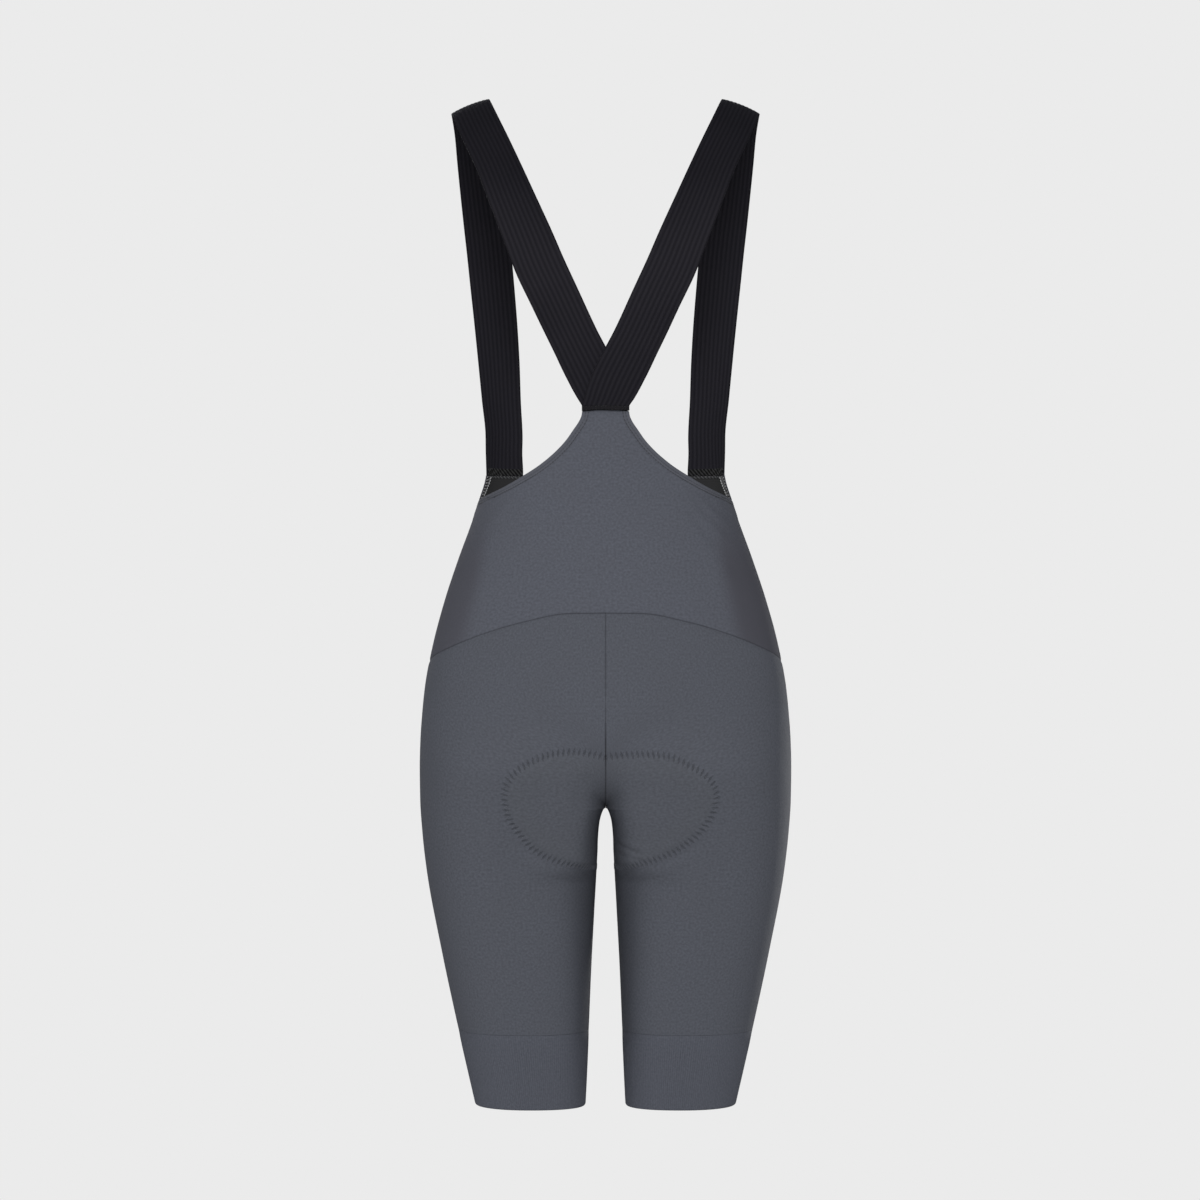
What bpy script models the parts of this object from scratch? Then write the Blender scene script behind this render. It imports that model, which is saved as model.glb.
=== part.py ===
"""Women's cycling bib shorts, filled out as when worn and open where the wearer goes in.

+X is the wearer's left, +Y the wearer's back and +Z up. The origin lies midway between the straps, at the
height of the shoulders that hold them up. Every cut and sewn piece is a closed wall of its own cloth.
"""

import math

import bpy
import numpy as np

MM = 0.001

# Walls and seams, in metres
KNIT_WALL = 0.0012
GRIPPER_WALL = 0.0015
STRAP_WALL = 0.0015
SEAM_GAP = 0.0003

# Heights, in metres below the top of the shoulders
APEX_HEIGHT = -0.2820
FOOT_HEIGHT = -0.3363
CROTCH_HEIGHT = -0.6400
GRIPPER_HEIGHT = -0.8455
HEM_HEIGHT = -0.9145

# Half widths of the back point and of the strap feet on the front panel, in metres
APEX_HALF_WIDTH = 0.0211
FOOT_OUTER_X = 0.1110
FOOT_INNER_X = 0.0775
NECK_DIP = 0.048

# Body sections from top to bottom, in mm: depths are measured back and forward from the shoulder plane,
# and side is where the widest point of the section lies
SECTION_COLUMNS = ("height", "half_width", "back", "front", "side")
SECTIONS = (
    (-270, 112.0, 84.5, 88.0, -42.0),
    (-305, 111.0, 82.0, 88.0, -42.0),
    (-337, 111.7, 80.5, 88.0, -42.0),
    (-360, 116.8, 80.5, 90.5, -30.0),
    (-380, 123.2, 82.5, 92.0, -20.0),
    (-415, 135.5, 87.0, 94.5, -8.0),
    (-450, 146.9, 94.0, 96.5, 0.0),
    (-490, 157.8, 104.5, 98.0, 0.0),
    (-530, 165.6, 114.5, 98.2, 0.0),
    (-555, 168.2, 119.6, 98.0, 0.0),
    (-580, 169.9, 121.8, 96.6, 0.0),
    (-605, 170.5, 120.0, 93.8, 0.0),
    (-635, 170.1, 113.9, 89.4, 0.0),
    (-665, 168.1, 106.6, 85.2, 0.0),
    (-700, 164.1, 98.4, 81.0, 0.0),
    (-775, 150.1, 84.5, 74.0, 0.0),
    (-850, 134.0, 71.0, 64.0, 0.0),
    (-920, 118.0, 57.5, 51.5, 0.0),
)

# Half gap between the thighs below the crotch, in mm
THIGH_GAP_COLUMNS = ("height", "half_gap")
THIGH_GAP = ((-680, 8.0), (-737, 10.6), (-790, 13.0), (-847, 15.4), (-902, 17.9), (-920, 18.9))
CROTCH_ARCH_DEPTH = 0.040

# Front-to-back place of the crotch point, and how far above it the centre seams leave the crotch arch
CROTCH_Y = 0.005
BACK_RISE = 0.075
FRONT_RISE = 0.085
RISE_POWER = 2.2
BRIDGE = 0.012
HIP_BLEND = (0.030, 0.110)

# Roundness of the sections: 2 is an ellipse, more is squarer
TORSO_POWER = 2.25
OUTER_THIGH_POWER = 2.15
INNER_THIGH_POWER = 2.4

# Waist seam between the bib and the leg panels: share of the way round from centre back to centre front
WAIST_COLUMNS = ("round", "height")
WAIST_SEAM = (
    (0.00, -463.6),
    (0.08, -464.0),
    (0.19, -472.4),
    (0.27, -481.9),
    (0.38, -497.0),
    (0.50, -509.5),
    (0.65, -522.0),
    (0.80, -531.0),
    (1.00, -536.0),
)

# Armhole edge of the back panel, in mm, from the side seam up to the point
ARMHOLE_COLUMNS = ("height", "half_width")
ARMHOLE = (
    (-361.0, 119.5),
    (-358.7, 114.5),
    (-350.1, 94.4),
    (-339.8, 75.3),
    (-330.1, 59.7),
    (-316.9, 43.8),
    (-308.0, 35.6),
    (-299.1, 29.3),
    (-290.2, 23.4),
    (-286.0, 21.7),
    (-282.0, 21.1),
)

# Left strap from its foot on the front panel, over the shoulder, to the back point, in mm: its centre line,
# the direction from its inner to its outer edge, its width, and how far its middle bows out
STRAP_COLUMNS = ("x", "y", "z", "across_x", "across_y", "across_z", "width", "bow")
STRAP = (
    (94.3, -64.0, -336.3, 0.76, 0.65, 0.00, 43.5, 4.5),
    (94.3, -73.5, -302.0, 0.79, 0.60, 0.13, 43.0, 3.5),
    (97.2, -84.0, -264.4, 0.84, 0.54, 0.07, 43.0, 2.5),
    (100.3, -92.0, -226.3, 0.88, 0.48, 0.01, 43.0, 2.0),
    (103.7, -97.0, -188.4, 0.90, 0.43, -0.06, 43.0, 1.5),
    (107.4, -97.0, -150.7, 0.92, 0.36, -0.12, 42.5, 1.5),
    (111.2, -91.0, -113.6, 0.93, 0.30, -0.18, 42.0, 1.5),
    (115.3, -79.0, -77.1, 0.93, 0.25, -0.24, 41.0, 1.5),
    (118.9, -59.0, -41.9, 0.92, 0.20, -0.30, 40.0, 1.5),
    (121.6, -33.0, -14.0, 0.91, 0.20, -0.36, 39.0, 1.5),
    (123.8, 0.0, 0.0, 0.90, 0.20, -0.38, 38.5, 1.5),
    (115.4, 38.0, -19.8, 0.91, 0.22, -0.34, 39.5, 1.5),
    (97.5, 68.5, -59.2, 0.92, 0.33, -0.20, 42.0, 1.5),
    (83.8, 86.0, -92.5, 0.92, 0.27, -0.28, 43.0, 1.2),
    (68.0, 96.5, -129.4, 0.92, 0.14, -0.36, 43.0, 1.0),
    (58.5, 99.5, -152.0, 0.91, 0.04, -0.41, 43.0, 0.8),
    (43.9, 100.5, -183.4, 0.91, 0.00, -0.42, 43.0, 0.5),
    (27.3, 97.0, -219.0, 0.90, 0.00, -0.43, 43.0, 0.0),
    (9.6, 89.5, -254.5, 0.99, 0.00, -0.14, 46.0, 0.0),
    (0.0, 83.4, -277.4, 1.00, 0.00, 0.00, 42.4, 0.0),
)
STRAP_STEPS = 2
STRAP_RIBS = 10
RIB_HEIGHT = 0.00025
STRAP_INSIDE_COLUMNS = 4

# The straps cross on one curved sheet above the back point: heights between which each bends onto it
CROSSING = (-0.165, -0.212)
CROSSING_CURVE = 2.0
TAPE_MARGIN = 0.0004

# Seat pad, in mm: half width of its outline at each height, behind on either side and in front
PAD_COLUMNS = ("height", "left", "right", "front")
PAD = (
    (-566.0, 50.0, 50.0, 46.0),
    (-583.0, 55.0, 55.0, 49.5),
    (-592.0, 64.0, 66.0, 50.0),
    (-607.0, 83.0, 87.0, 51.0),
    (-628.0, 89.7, 97.8, 54.0),
    (-648.0, 84.5, 94.0, 54.0),
    (-662.0, 73.0, 82.5, 50.0),
    (-676.0, 54.0, 65.0, 38.0),
    (-685.5, 36.0, 41.0, 26.0),
    (-694.6, 9.5, 9.5, 9.5),
)
PAD_LOWEST = -0.6946
PAD_GAP = 0.0009
PAD_EDGE_THICKNESS = 0.0020
PAD_CORE_THICKNESS = 0.0080

# Rows of the panels' grids, and how many of them the pad reaches above and below the crotch point
LEG_ROWS_ABOVE = 9
LEG_ROWS_BELOW = 13
BIB_ROWS = 9
GRIPPER_ROWS = 4
PAD_ROWS_BACK = 4
PAD_ROWS_FRONT = 7
PAD_ROWS_BELOW = 5

# How strongly a point's inward step is pulled to the mean of its facets, and the longest step, in walls
OFFSET_PULL = 0.02
LONGEST_OFFSET = 1.6

# Colour (linear), roughness and metallic value of each piece
LOOKS = {
    "back_bib": ((0.098, 0.105, 0.127), 0.72, 0.0),
    "front_bib": ((0.092, 0.098, 0.118), 0.74, 0.0),
    "leg_panel": ((0.098, 0.105, 0.127), 0.72, 0.0),
    "leg_gripper": ((0.080, 0.086, 0.103), 0.78, 0.0),
    "strap": ((0.014, 0.014, 0.017), 0.82, 0.0),
    "strap_junction_tape": ((0.016, 0.016, 0.019), 0.85, 0.0),
    "seat_pad": ((0.045, 0.048, 0.056), 0.90, 0.0),
}


class Table:
    """A table of sizes whose first column rises or falls all the way, read along smooth curves."""

    def __init__(self, columns, rows, scale=MM, first_scale=None):
        values = np.array(rows, float)
        self.at = values[:, 0] * (scale if first_scale is None else first_scale)
        self.values = {n: values[:, i] * scale for i, n in enumerate(columns)}
        if self.at[0] > self.at[-1]:
            self.at = self.at[::-1]
            self.values = {n: v[::-1] for n, v in self.values.items()}

    def read(self, name, at):
        return smooth_value(self.at, self.values[name], at)


def smooth_value(knots, values, at):
    """Value at one place on a curve through the knots that turns gently and never overshoots them."""
    at = min(max(at, knots[0]), knots[-1])
    i = int(min(np.searchsorted(knots, at, side="right") - 1, len(knots) - 2))
    step = knots[i + 1] - knots[i]
    t = (at - knots[i]) / step
    start, end = knot_slope(knots, values, i) * step, knot_slope(knots, values, i + 1) * step
    h = (2 * t**3 - 3 * t**2 + 1, t**3 - 2 * t**2 + t, 3 * t**2 - 2 * t**3, t**3 - t**2)
    return h[0] * values[i] + h[1] * start + h[2] * values[i + 1] + h[3] * end


def knot_slope(knots, values, i):
    """Slope at a knot: a weighted mean of the slopes beside it, and nought at a peak or a dip."""
    if i == 0 or i == len(knots) - 1:
        j = min(i, len(knots) - 2)
        return (values[j + 1] - values[j]) / (knots[j + 1] - knots[j])
    before, after = knots[i] - knots[i - 1], knots[i + 1] - knots[i]
    left, right = (values[i] - values[i - 1]) / before, (values[i + 1] - values[i]) / after
    if left * right <= 0:
        return 0.0
    return 3 * (before + after) / ((2 * after + before) / left + (after + 2 * before) / right)


def smooth_step(low, high, value):
    t = min(max((value - low) / (high - low), 0.0), 1.0)
    return t * t * (3 - 2 * t)


BODY = Table(SECTION_COLUMNS, SECTIONS)
GAP = Table(THIGH_GAP_COLUMNS, THIGH_GAP)
WAIST = Table(WAIST_COLUMNS, WAIST_SEAM, first_scale=1.0)
ARM_EDGE = Table(ARMHOLE_COLUMNS, ARMHOLE)
PAD_OUTLINE = Table(PAD_COLUMNS, PAD)


# The shape of the body that fills the garment


def quarter(start, end, power, leads, count=48):
    """Superellipse quarter from start to end that sets off along the axis `leads`, ending along the other."""
    turn = np.linspace(0, math.pi / 2, count)
    first, second = np.sin(turn) ** (2 / power), 1 - np.abs(np.cos(turn)) ** (2 / power)
    share = [second, second]
    share[leads] = first
    return np.stack([start[k] + (end[k] - start[k]) * share[k] for k in (0, 1)], axis=1)


def evenly(path, steps):
    """The path again, as points that lie evenly along its length."""
    lengths = np.r_[0, np.cumsum(np.hypot(*np.diff(path, axis=0).T))]
    at = np.linspace(0, lengths[-1], steps + 1)
    return np.stack([np.interp(at, lengths, path[:, k]) for k in (0, 1)], axis=1)


def half_gap(z):
    """Half the gap between the thighs: a round arch under the crotch, then slowly wider."""
    below = CROTCH_HEIGHT - z
    if below <= 0:
        return 0.0
    if below < CROTCH_ARCH_DEPTH:
        arch = 1 - (1 - below / CROTCH_ARCH_DEPTH) ** 2
        return GAP.read("half_gap", CROTCH_HEIGHT - CROTCH_ARCH_DEPTH) * math.sqrt(arch)
    return GAP.read("half_gap", z)


def bridged(path, z, depth, rise):
    """The inner quarter above the crotch, where the cloth spans the hollow instead of following it in."""
    above = z - CROTCH_HEIGHT
    if above <= 0:
        return path
    left = 1 - min(above / rise, 1.0)
    start = path[0, 1]
    reach = start + (depth - start) * (1 - left**RISE_POWER) ** (1 / RISE_POWER)
    blend = BRIDGE * (1 - math.exp(-above / (BRIDGE / 2)))

    def larger(value):
        return (reach + value + np.hypot(reach - value, blend)) / 2

    out = path.copy()
    out[:, 1] = start + (larger(path[:, 1]) - start) * (depth - start) / (larger(depth) - start)
    return out


def half_section(z, steps=40):
    """The left half of the body's section at one height, from centre back round the side to centre front."""
    wide, back = BODY.read("half_width", z), BODY.read("back", z)
    front, side = BODY.read("front", z), BODY.read("side", z)
    torso = np.vstack(
        (
            evenly(quarter((0, back), (wide, side), TORSO_POWER, 0), 2 * steps)[:-1],
            evenly(quarter((wide, side), (0, -front), TORSO_POWER, 1), 2 * steps),
        )
    )
    torso_share = smooth_step(*HIP_BLEND, z - CROTCH_HEIGHT)
    if torso_share == 1:
        return torso
    inner = half_gap(z)
    middle = (wide + inner) / 2
    back_in = evenly(quarter((inner, CROTCH_Y), (middle, back), INNER_THIGH_POWER, 1), steps)
    front_in = evenly(quarter((inner, -CROTCH_Y), (middle, front), INNER_THIGH_POWER, 1), steps)
    back_in = bridged(back_in, z, back, BACK_RISE)
    front_in = bridged(front_in, z, front, FRONT_RISE)[::-1] * (1, -1)
    thigh = np.vstack(
        (
            back_in[:-1],
            evenly(quarter((middle, back), (wide, side), OUTER_THIGH_POWER, 0), steps)[:-1],
            evenly(quarter((wide, side), (middle, -front), OUTER_THIGH_POWER, 1), steps)[:-1],
            front_in,
        )
    )
    return thigh + (torso - thigh) * torso_share


SECTION_CACHE = {}


def surface(u, z):
    """Point of the outer face: u runs from centre back (0) over the side (0.5) to centre front (1)."""
    key = round(z * 1e7)
    if key not in SECTION_CACHE:
        SECTION_CACHE[key] = half_section(z)
    ring = SECTION_CACHE[key]
    u = u % 1.0 if z < CROTCH_HEIGHT and not 0 <= u <= 1 else min(max(u, 0.0), 1.0)
    at = u * (len(ring) - 1)
    i = min(int(at), len(ring) - 2)
    x, y = ring[i] + (ring[i + 1] - ring[i]) * (at - i)
    return np.array((x, y, z))


def outward(u, z):
    """Unit vector out of the garment's outer face."""
    du, dz = 0.006, 0.0010
    low = z - dz
    high = z + dz if abs(z - CROTCH_HEIGHT) > 1e-6 else z
    along = surface(u + du, z) - surface(u - du, z)
    up = surface(u, high) - surface(u, low)
    out = np.cross(up, along)
    return out / np.linalg.norm(out)


def round_at(x, z, front=False):
    """How far round, as u, the section reaches a given half width, behind or in front of the side."""
    low, high = (1.0, 0.5) if front else (0.0, 0.5)
    for _ in range(40):
        middle = (low + high) / 2
        if surface(middle, z)[0] < x:
            low = middle
        else:
            high = middle
    return (low + high) / 2


APEX_ROUND = round_at(APEX_HALF_WIDTH, APEX_HEIGHT)
FOOT_OUTER_ROUND = round_at(FOOT_OUTER_X, FOOT_HEIGHT, front=True)
FOOT_INNER_ROUND = round_at(FOOT_INNER_X, FOOT_HEIGHT, front=True)


def column_rounds():
    """The columns that every panel shares, so that two panels meet point for point at a seam."""
    armhole = APEX_ROUND + (0.5 - APEX_ROUND) * np.linspace(0, 1, 15) ** 1.25
    return np.concatenate(
        (
            np.linspace(0, APEX_ROUND, 3)[:-1],
            armhole[:-1],
            (0.5,),
            np.linspace(FOOT_OUTER_ROUND, FOOT_INNER_ROUND, 4)[:-1],
            np.linspace(FOOT_INNER_ROUND, 1, 11),
        )
    )


ROUNDS = column_rounds()
SIDE_COLUMN = int(np.argmin(np.abs(ROUNDS - 0.5)))


def waist_height(u):
    return WAIST.read("height", u)


def top_height(u):
    """Height of the bib's upper edge: the back point, the armhole, the strap foot and the front neckline."""
    if u <= APEX_ROUND:
        return APEX_HEIGHT
    if u <= 0.5:
        low, high = ARM_EDGE.at[0], ARM_EDGE.at[-1]
        for _ in range(40):
            middle = (low + high) / 2
            if surface(u, middle)[0] < ARM_EDGE.read("half_width", middle):
                low = middle
            else:
                high = middle
        return (low + high) / 2
    if u < FOOT_OUTER_ROUND:
        t = (u - 0.5) / (FOOT_OUTER_ROUND - 0.5)
        return top_height(0.5) * (1 - t) + (FOOT_HEIGHT - SEAM_GAP / 2) * t
    if u <= FOOT_INNER_ROUND:
        return FOOT_HEIGHT - SEAM_GAP / 2
    t = (u - FOOT_INNER_ROUND) / (1 - FOOT_INNER_ROUND)
    return FOOT_HEIGHT - SEAM_GAP / 2 - NECK_DIP * math.sin(t * math.pi / 2) ** 1.3


# Walls as closed solids


def add_object(name, points, faces, look, smooth_angle=40):
    mesh = bpy.data.meshes.new(name)
    mesh.from_pydata([tuple(p) for p in points], [], faces)
    mesh.update()
    mesh.shade_smooth()
    mesh.set_sharp_from_angle(angle=math.radians(smooth_angle))
    colour, roughness, metallic = LOOKS[look]
    material = bpy.data.materials.new(name)
    material.use_nodes = True
    shader = material.node_tree.nodes["Principled BSDF"]
    shader.inputs["Base Color"].default_value = (*colour, 1.0)
    shader.inputs["Roughness"].default_value = roughness
    shader.inputs["Metallic"].default_value = metallic
    mesh.materials.append(material)
    obj = bpy.data.objects.new(name, mesh)
    bpy.context.scene.collection.objects.link(obj)
    return obj


def thickened(outer, inner, quads):
    """Points and faces of a closed wall: an outer sheet, the same sheet further in, and its rims."""
    count = len(outer)
    faces = [tuple(q) for q in quads]
    uses = {}
    for face in faces:
        for a, b in zip(face, face[1:] + face[:1]):
            uses[a, b] = uses.get((a, b), 0) + 1
    rims = [(b, a, a + count, b + count) for a, b in uses if (b, a) not in uses]
    backs = [tuple(i + count for i in reversed(face)) for face in faces]
    return np.vstack((outer, inner)), faces + backs + rims


def grid_faces(ids, flip=False):
    """Triangles of a grid of point numbers, every cell split the same way so that a piece laid on it fits."""
    faces = []
    for row, below in zip(ids[:-1], ids[1:]):
        for k in range(len(row) - 1):
            for face in ((row[k], below[k], below[k + 1]), (row[k], below[k + 1], row[k + 1])):
                if len(set(face)) == 3:
                    faces.append(tuple(reversed(face)) if flip else face)
    return faces


def mirrored(points):
    return np.asarray(points) * (-1, 1, 1)


def thickness_direction(u, z, on_centre=False):
    """Direction in which a wall's thickness is measured. On a centre seam it lies in the centre plane."""
    normal = outward(u, z)
    if not on_centre:
        return normal
    if z == CROTCH_HEIGHT:
        return np.array((0.0, 0.0, -1.0))
    level = np.array((0.0, normal[1], normal[2]))
    size = np.linalg.norm(level)
    return level / size * min(1 / size, 1.5)


def leg_row_heights(u):
    """Heights of the leg panel's rows, which draw together at the crotch point."""
    ends = ((1 + math.cos(2 * math.pi * u)) / 2) ** 1.2
    power = 1 + 0.6 * ends
    top = waist_height(u) - SEAM_GAP / 2 - CROTCH_HEIGHT
    bottom = GRIPPER_HEIGHT + SEAM_GAP / 2 - CROTCH_HEIGHT
    above = [CROTCH_HEIGHT + top * t**power for t in np.linspace(1, 0, LEG_ROWS_ABOVE + 1)]
    below = [CROTCH_HEIGHT + bottom * t**power for t in np.linspace(0, 1, LEG_ROWS_BELOW + 1)[1:]]
    return above + below


def even_offsets(points, ids):
    """For each point of a grid, the step that moves all the facets round it in by about one unit.

    Points on the centre plane share their facets with the mirrored half, so their step stays in that plane.
    """
    flat = {i: points[j, k] for j, row in enumerate(ids) for k, i in enumerate(row)}
    sums = {i: (np.zeros((3, 3)), np.zeros(3)) for i in flat}
    for face in grid_faces(ids, flip=True):
        corners = [flat[i] for i in face]
        normal = np.cross(corners[1] - corners[0], corners[2] - corners[0])
        normal /= np.linalg.norm(normal)
        for k, i in enumerate(face):
            one, two = corners[k - 2] - corners[k], corners[k - 1] - corners[k]
            cosine = one @ two / np.linalg.norm(one) / np.linalg.norm(two)
            weight = math.acos(min(max(cosine, -1.0), 1.0))
            for side in (normal, normal * (-1, 1, 1)) if flat[i][0] == 0 else (normal,):
                sums[i][0][:] += weight * np.outer(side, side)
                sums[i][1][:] += weight * side
    steps = {}
    for i, (square, total) in sums.items():
        mean = total / np.linalg.norm(total)
        pull = OFFSET_PULL * np.trace(square)
        step = np.linalg.solve(square + pull * np.eye(3), total + pull * mean)
        steps[i] = step * min(1.0, LONGEST_OFFSET / np.linalg.norm(step))
    return np.array([[steps[i] for i in row] for row in ids])


def leg_grid():
    """Outer points and thickness directions of the left leg panel, row by row from the waist seam down."""
    heights = np.array([leg_row_heights(u) for u in ROUNDS]).T
    points, outs = np.empty((*heights.shape, 3)), np.empty((*heights.shape, 3))
    last = len(ROUNDS) - 1
    for j, row in enumerate(heights):
        for i, (u, z) in enumerate(zip(ROUNDS, row)):
            on_centre = i in (0, last) and j <= LEG_ROWS_ABOVE
            points[j, i] = surface(u, z)
            outs[j, i] = thickness_direction(u, z, on_centre)
            if on_centre:
                points[j, i, 0] = 0.0
    ids = [[j * len(ROUNDS) + i for i in range(last + 1)] for j in range(len(heights))]
    for row in ids[LEG_ROWS_ABOVE:]:
        row[last] = row[0]
    outs[1:-1] = even_offsets(points, ids)[1:-1]
    return points, outs


LEG_POINTS, LEG_OUTS = leg_grid()


def leg_panel(name, left):
    """One leg panel: open at the centre seams above the crotch, and a closed tube below it."""
    rows, columns = LEG_POINTS.shape[:2]
    outer, inner, ids = [], [], []
    for j in range(rows):
        closed = j >= LEG_ROWS_ABOVE
        count = columns - 1 if closed else columns
        first = len(outer)
        outer.extend(LEG_POINTS[j, :count])
        inner.extend(LEG_POINTS[j, :count] - LEG_OUTS[j, :count] * KNIT_WALL)
        ids.append([*range(first, first + count)] + ([first] if closed else []))
    outer, inner = np.array(outer), np.array(inner)
    for points in (outer, inner):
        points[:, 0] = np.maximum(points[:, 0], SEAM_GAP / 2)
    if not left:
        outer, inner = mirrored(outer), mirrored(inner)
    points, faces = thickened(outer, inner, grid_faces(ids, flip=left))
    return add_object(name, points, faces, "leg_panel")


def leg_gripper(name, left):
    """The elastic band round one leg, from the panel down to the hem."""
    top, bottom = GRIPPER_HEIGHT - SEAM_GAP / 2, HEM_HEIGHT
    outer, inner, ids = [], [], []
    for z in np.linspace(top, bottom, GRIPPER_ROWS + 1):
        first = len(outer)
        for u in ROUNDS[:-1]:
            point = surface(u, z)
            normal = outward(u, z)
            if z in (top, bottom):
                normal[2] = 0
            outer.append(point)
            inner.append(point - normal * GRIPPER_WALL)
        ids.append([*range(first, len(outer)), first])
    outer, inner = np.array(outer), np.array(inner)
    if not left:
        outer, inner = mirrored(outer), mirrored(inner)
    points, faces = thickened(outer, inner, grid_faces(ids, flip=left))
    return add_object(name, points, faces, "leg_gripper")


def bib_panel(name, columns):
    """A bib panel across both sides of the body, from the waist seam to its upper edge."""
    back = columns[0] == 0
    half = []
    for i in columns:
        u = ROUNDS[i]
        low, high = waist_height(u) + SEAM_GAP / 2, top_height(u)
        if i == SIDE_COLUMN:
            girth_step = np.linalg.norm(surface(0.51, low) - surface(0.49, low)) / 0.02
            u += SEAM_GAP / 2 / girth_step * (-1 if back else 1)
        stack = []
        for z in np.linspace(high, low, BIB_ROWS + 1):
            on_centre = u in (0.0, 1.0)
            point = surface(u, z) * (0.0 if on_centre else 1.0, 1.0, 1.0)
            stack.append((point, point - thickness_direction(u, z, on_centre) * KNIT_WALL))
        half.append(stack)
    half = np.array(half)
    other = half * (-1, 1, 1)
    if back:
        whole = np.concatenate((other[:0:-1], half))
    else:
        whole = np.concatenate((half, other[-2::-1]))
    width, rows = whole.shape[:2]
    ids = [[i * rows + j for i in range(width)] for j in range(rows)]
    outer, inner = whole[:, :, 0].reshape(-1, 3), whole[:, :, 1].reshape(-1, 3)
    points, faces = thickened(outer, inner, grid_faces(ids, flip=True))
    return add_object(name, points, faces, name)


# Straps


def strap_stations():
    """The strap's centre line, edge-to-edge direction, width and bow at even steps of its table."""
    table = np.array(STRAP)
    knots = np.arange(len(table), dtype=float)
    at = np.linspace(0, len(table) - 1, STRAP_STEPS * (len(table) - 1) + 1)
    return np.array([[smooth_value(knots, column, t) for column in table.T] for t in at])


def strap_faces(left):
    """Outer and inner grids of points of one strap. Where they cross, the right strap lies over the left."""
    stations = strap_stations()
    centre, across = stations[:, :3] * MM, stations[:, 3:6]
    across /= np.linalg.norm(across, axis=1)[:, None]
    width, bow = stations[:, 6] * MM, stations[:, 7] * MM
    tangent = np.gradient(centre, axis=0)
    facing = np.cross(across, tangent)
    facing /= np.linalg.norm(facing, axis=1)[:, None]
    behind = [k for k in range(len(centre)) if centre[k, 1] > 0 and centre[k, 2] < CROSSING[0] / 2]
    sheet_z, sheet_y = centre[behind][::-1, 2], centre[behind][::-1, 1]
    lift = 0.0 if left else STRAP_WALL + RIB_HEIGHT + SEAM_GAP * 1.1

    def face(columns, raise_by):
        rows = []
        for k in range(len(centre)):
            share = np.linspace(-1, 1, columns)
            points = centre[k] + np.outer(share / 2 * width[k], across[k])
            points += np.outer(bow[k] * (1 - share**2), facing[k])
            normals = np.tile(facing[k], (columns, 1))
            if k == 0:
                rounds = FOOT_INNER_ROUND + (FOOT_OUTER_ROUND - FOOT_INNER_ROUND) * (share + 1) / 2
                points = np.array([surface(u, FOOT_HEIGHT) for u in rounds])
                points[:, 2] += SEAM_GAP / 2
                normals = np.array([outward(u, FOOT_HEIGHT) for u in rounds])
            elif k in behind:
                on_sheet = smooth_step(CROSSING[0], CROSSING[1], centre[k, 2])
                level = np.interp(points[:, 2], sheet_z, sheet_y) - CROSSING_CURVE * points[:, 0] ** 2
                points[:, 1] += (level - points[:, 1]) * on_sheet
                slope = np.gradient(sheet_y, sheet_z)
                lean = np.interp(points[:, 2], sheet_z, slope)
                if k == len(centre) - 1:
                    lean = np.zeros(columns)
                sheet_normal = np.stack((2 * CROSSING_CURVE * points[:, 0], np.ones(columns), -lean), axis=1)
                sheet_normal /= np.linalg.norm(sheet_normal, axis=1)[:, None]
                normals += (sheet_normal - normals) * on_sheet
                points += normals * lift * on_sheet
            if k in (0, len(centre) - 1):
                normals[:, 2] = 0
            normals /= np.linalg.norm(normals, axis=1)[:, None]
            rows.append(points + normals * raise_by[:, None])
        return np.array(rows)

    count = 2 * STRAP_RIBS + 1
    ribs = RIB_HEIGHT * (np.arange(count) % 2)
    outer = face(count, STRAP_WALL + ribs)
    inner = face(STRAP_INSIDE_COLUMNS + 1, np.zeros(STRAP_INSIDE_COLUMNS + 1))
    return outer, inner


def strap(name, left):
    """One ribbed elastic strap: ribs along its outer face, plain inside."""
    outer, inner = strap_faces(left)
    if not left:
        outer, inner = mirrored(outer), mirrored(inner)
    rows, wide, narrow = outer.shape[0], outer.shape[1], inner.shape[1]
    base = rows * wide
    outer_ids = [[j * wide + i for i in range(wide)] for j in range(rows)]
    inner_ids = [[base + j * narrow + i for i in range(narrow)] for j in range(rows)]
    faces = grid_faces(outer_ids, flip=True) + grid_faces(inner_ids)
    for j in range(rows - 1):
        faces.append((outer_ids[j][0], outer_ids[j + 1][0], inner_ids[j + 1][0], inner_ids[j][0]))
        faces.append((outer_ids[j + 1][-1], outer_ids[j][-1], inner_ids[j][-1], inner_ids[j + 1][-1]))
    faces.append((*reversed(outer_ids[0]), *inner_ids[0]))
    faces.append((*outer_ids[-1], *reversed(inner_ids[-1])))
    if not left:
        faces = [tuple(reversed(face)) for face in faces]
    return add_object(name, np.vstack((outer.reshape(-1, 3), inner.reshape(-1, 3))), faces, "strap")


def junction_tape(name):
    """The short band that covers the strap ends on the back point."""
    top = STRAP[-1][2] * MM - SEAM_GAP
    low = APEX_HEIGHT + SEAM_GAP
    inner_y = STRAP[-1][1] * MM - TAPE_MARGIN
    outer_y = STRAP[-1][1] * MM + 2 * (STRAP_WALL + RIB_HEIGHT) + SEAM_GAP + TAPE_MARGIN
    half = STRAP[-1][6] * MM / 2 + TAPE_MARGIN
    outer, inner, ids = [], [], []
    for z in (top, low):
        first = len(outer)
        for x in np.linspace(-half, half, 9):
            bend = CROSSING_CURVE * x * x
            outer.append((x, outer_y - bend, z))
            inner.append((x, inner_y - bend, z))
        ids.append(list(range(first, len(outer))))
    points, faces = thickened(np.array(outer), np.array(inner), grid_faces(ids, flip=True))
    return add_object(name, points, faces, "strap_junction_tape")


# Seat pad


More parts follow.
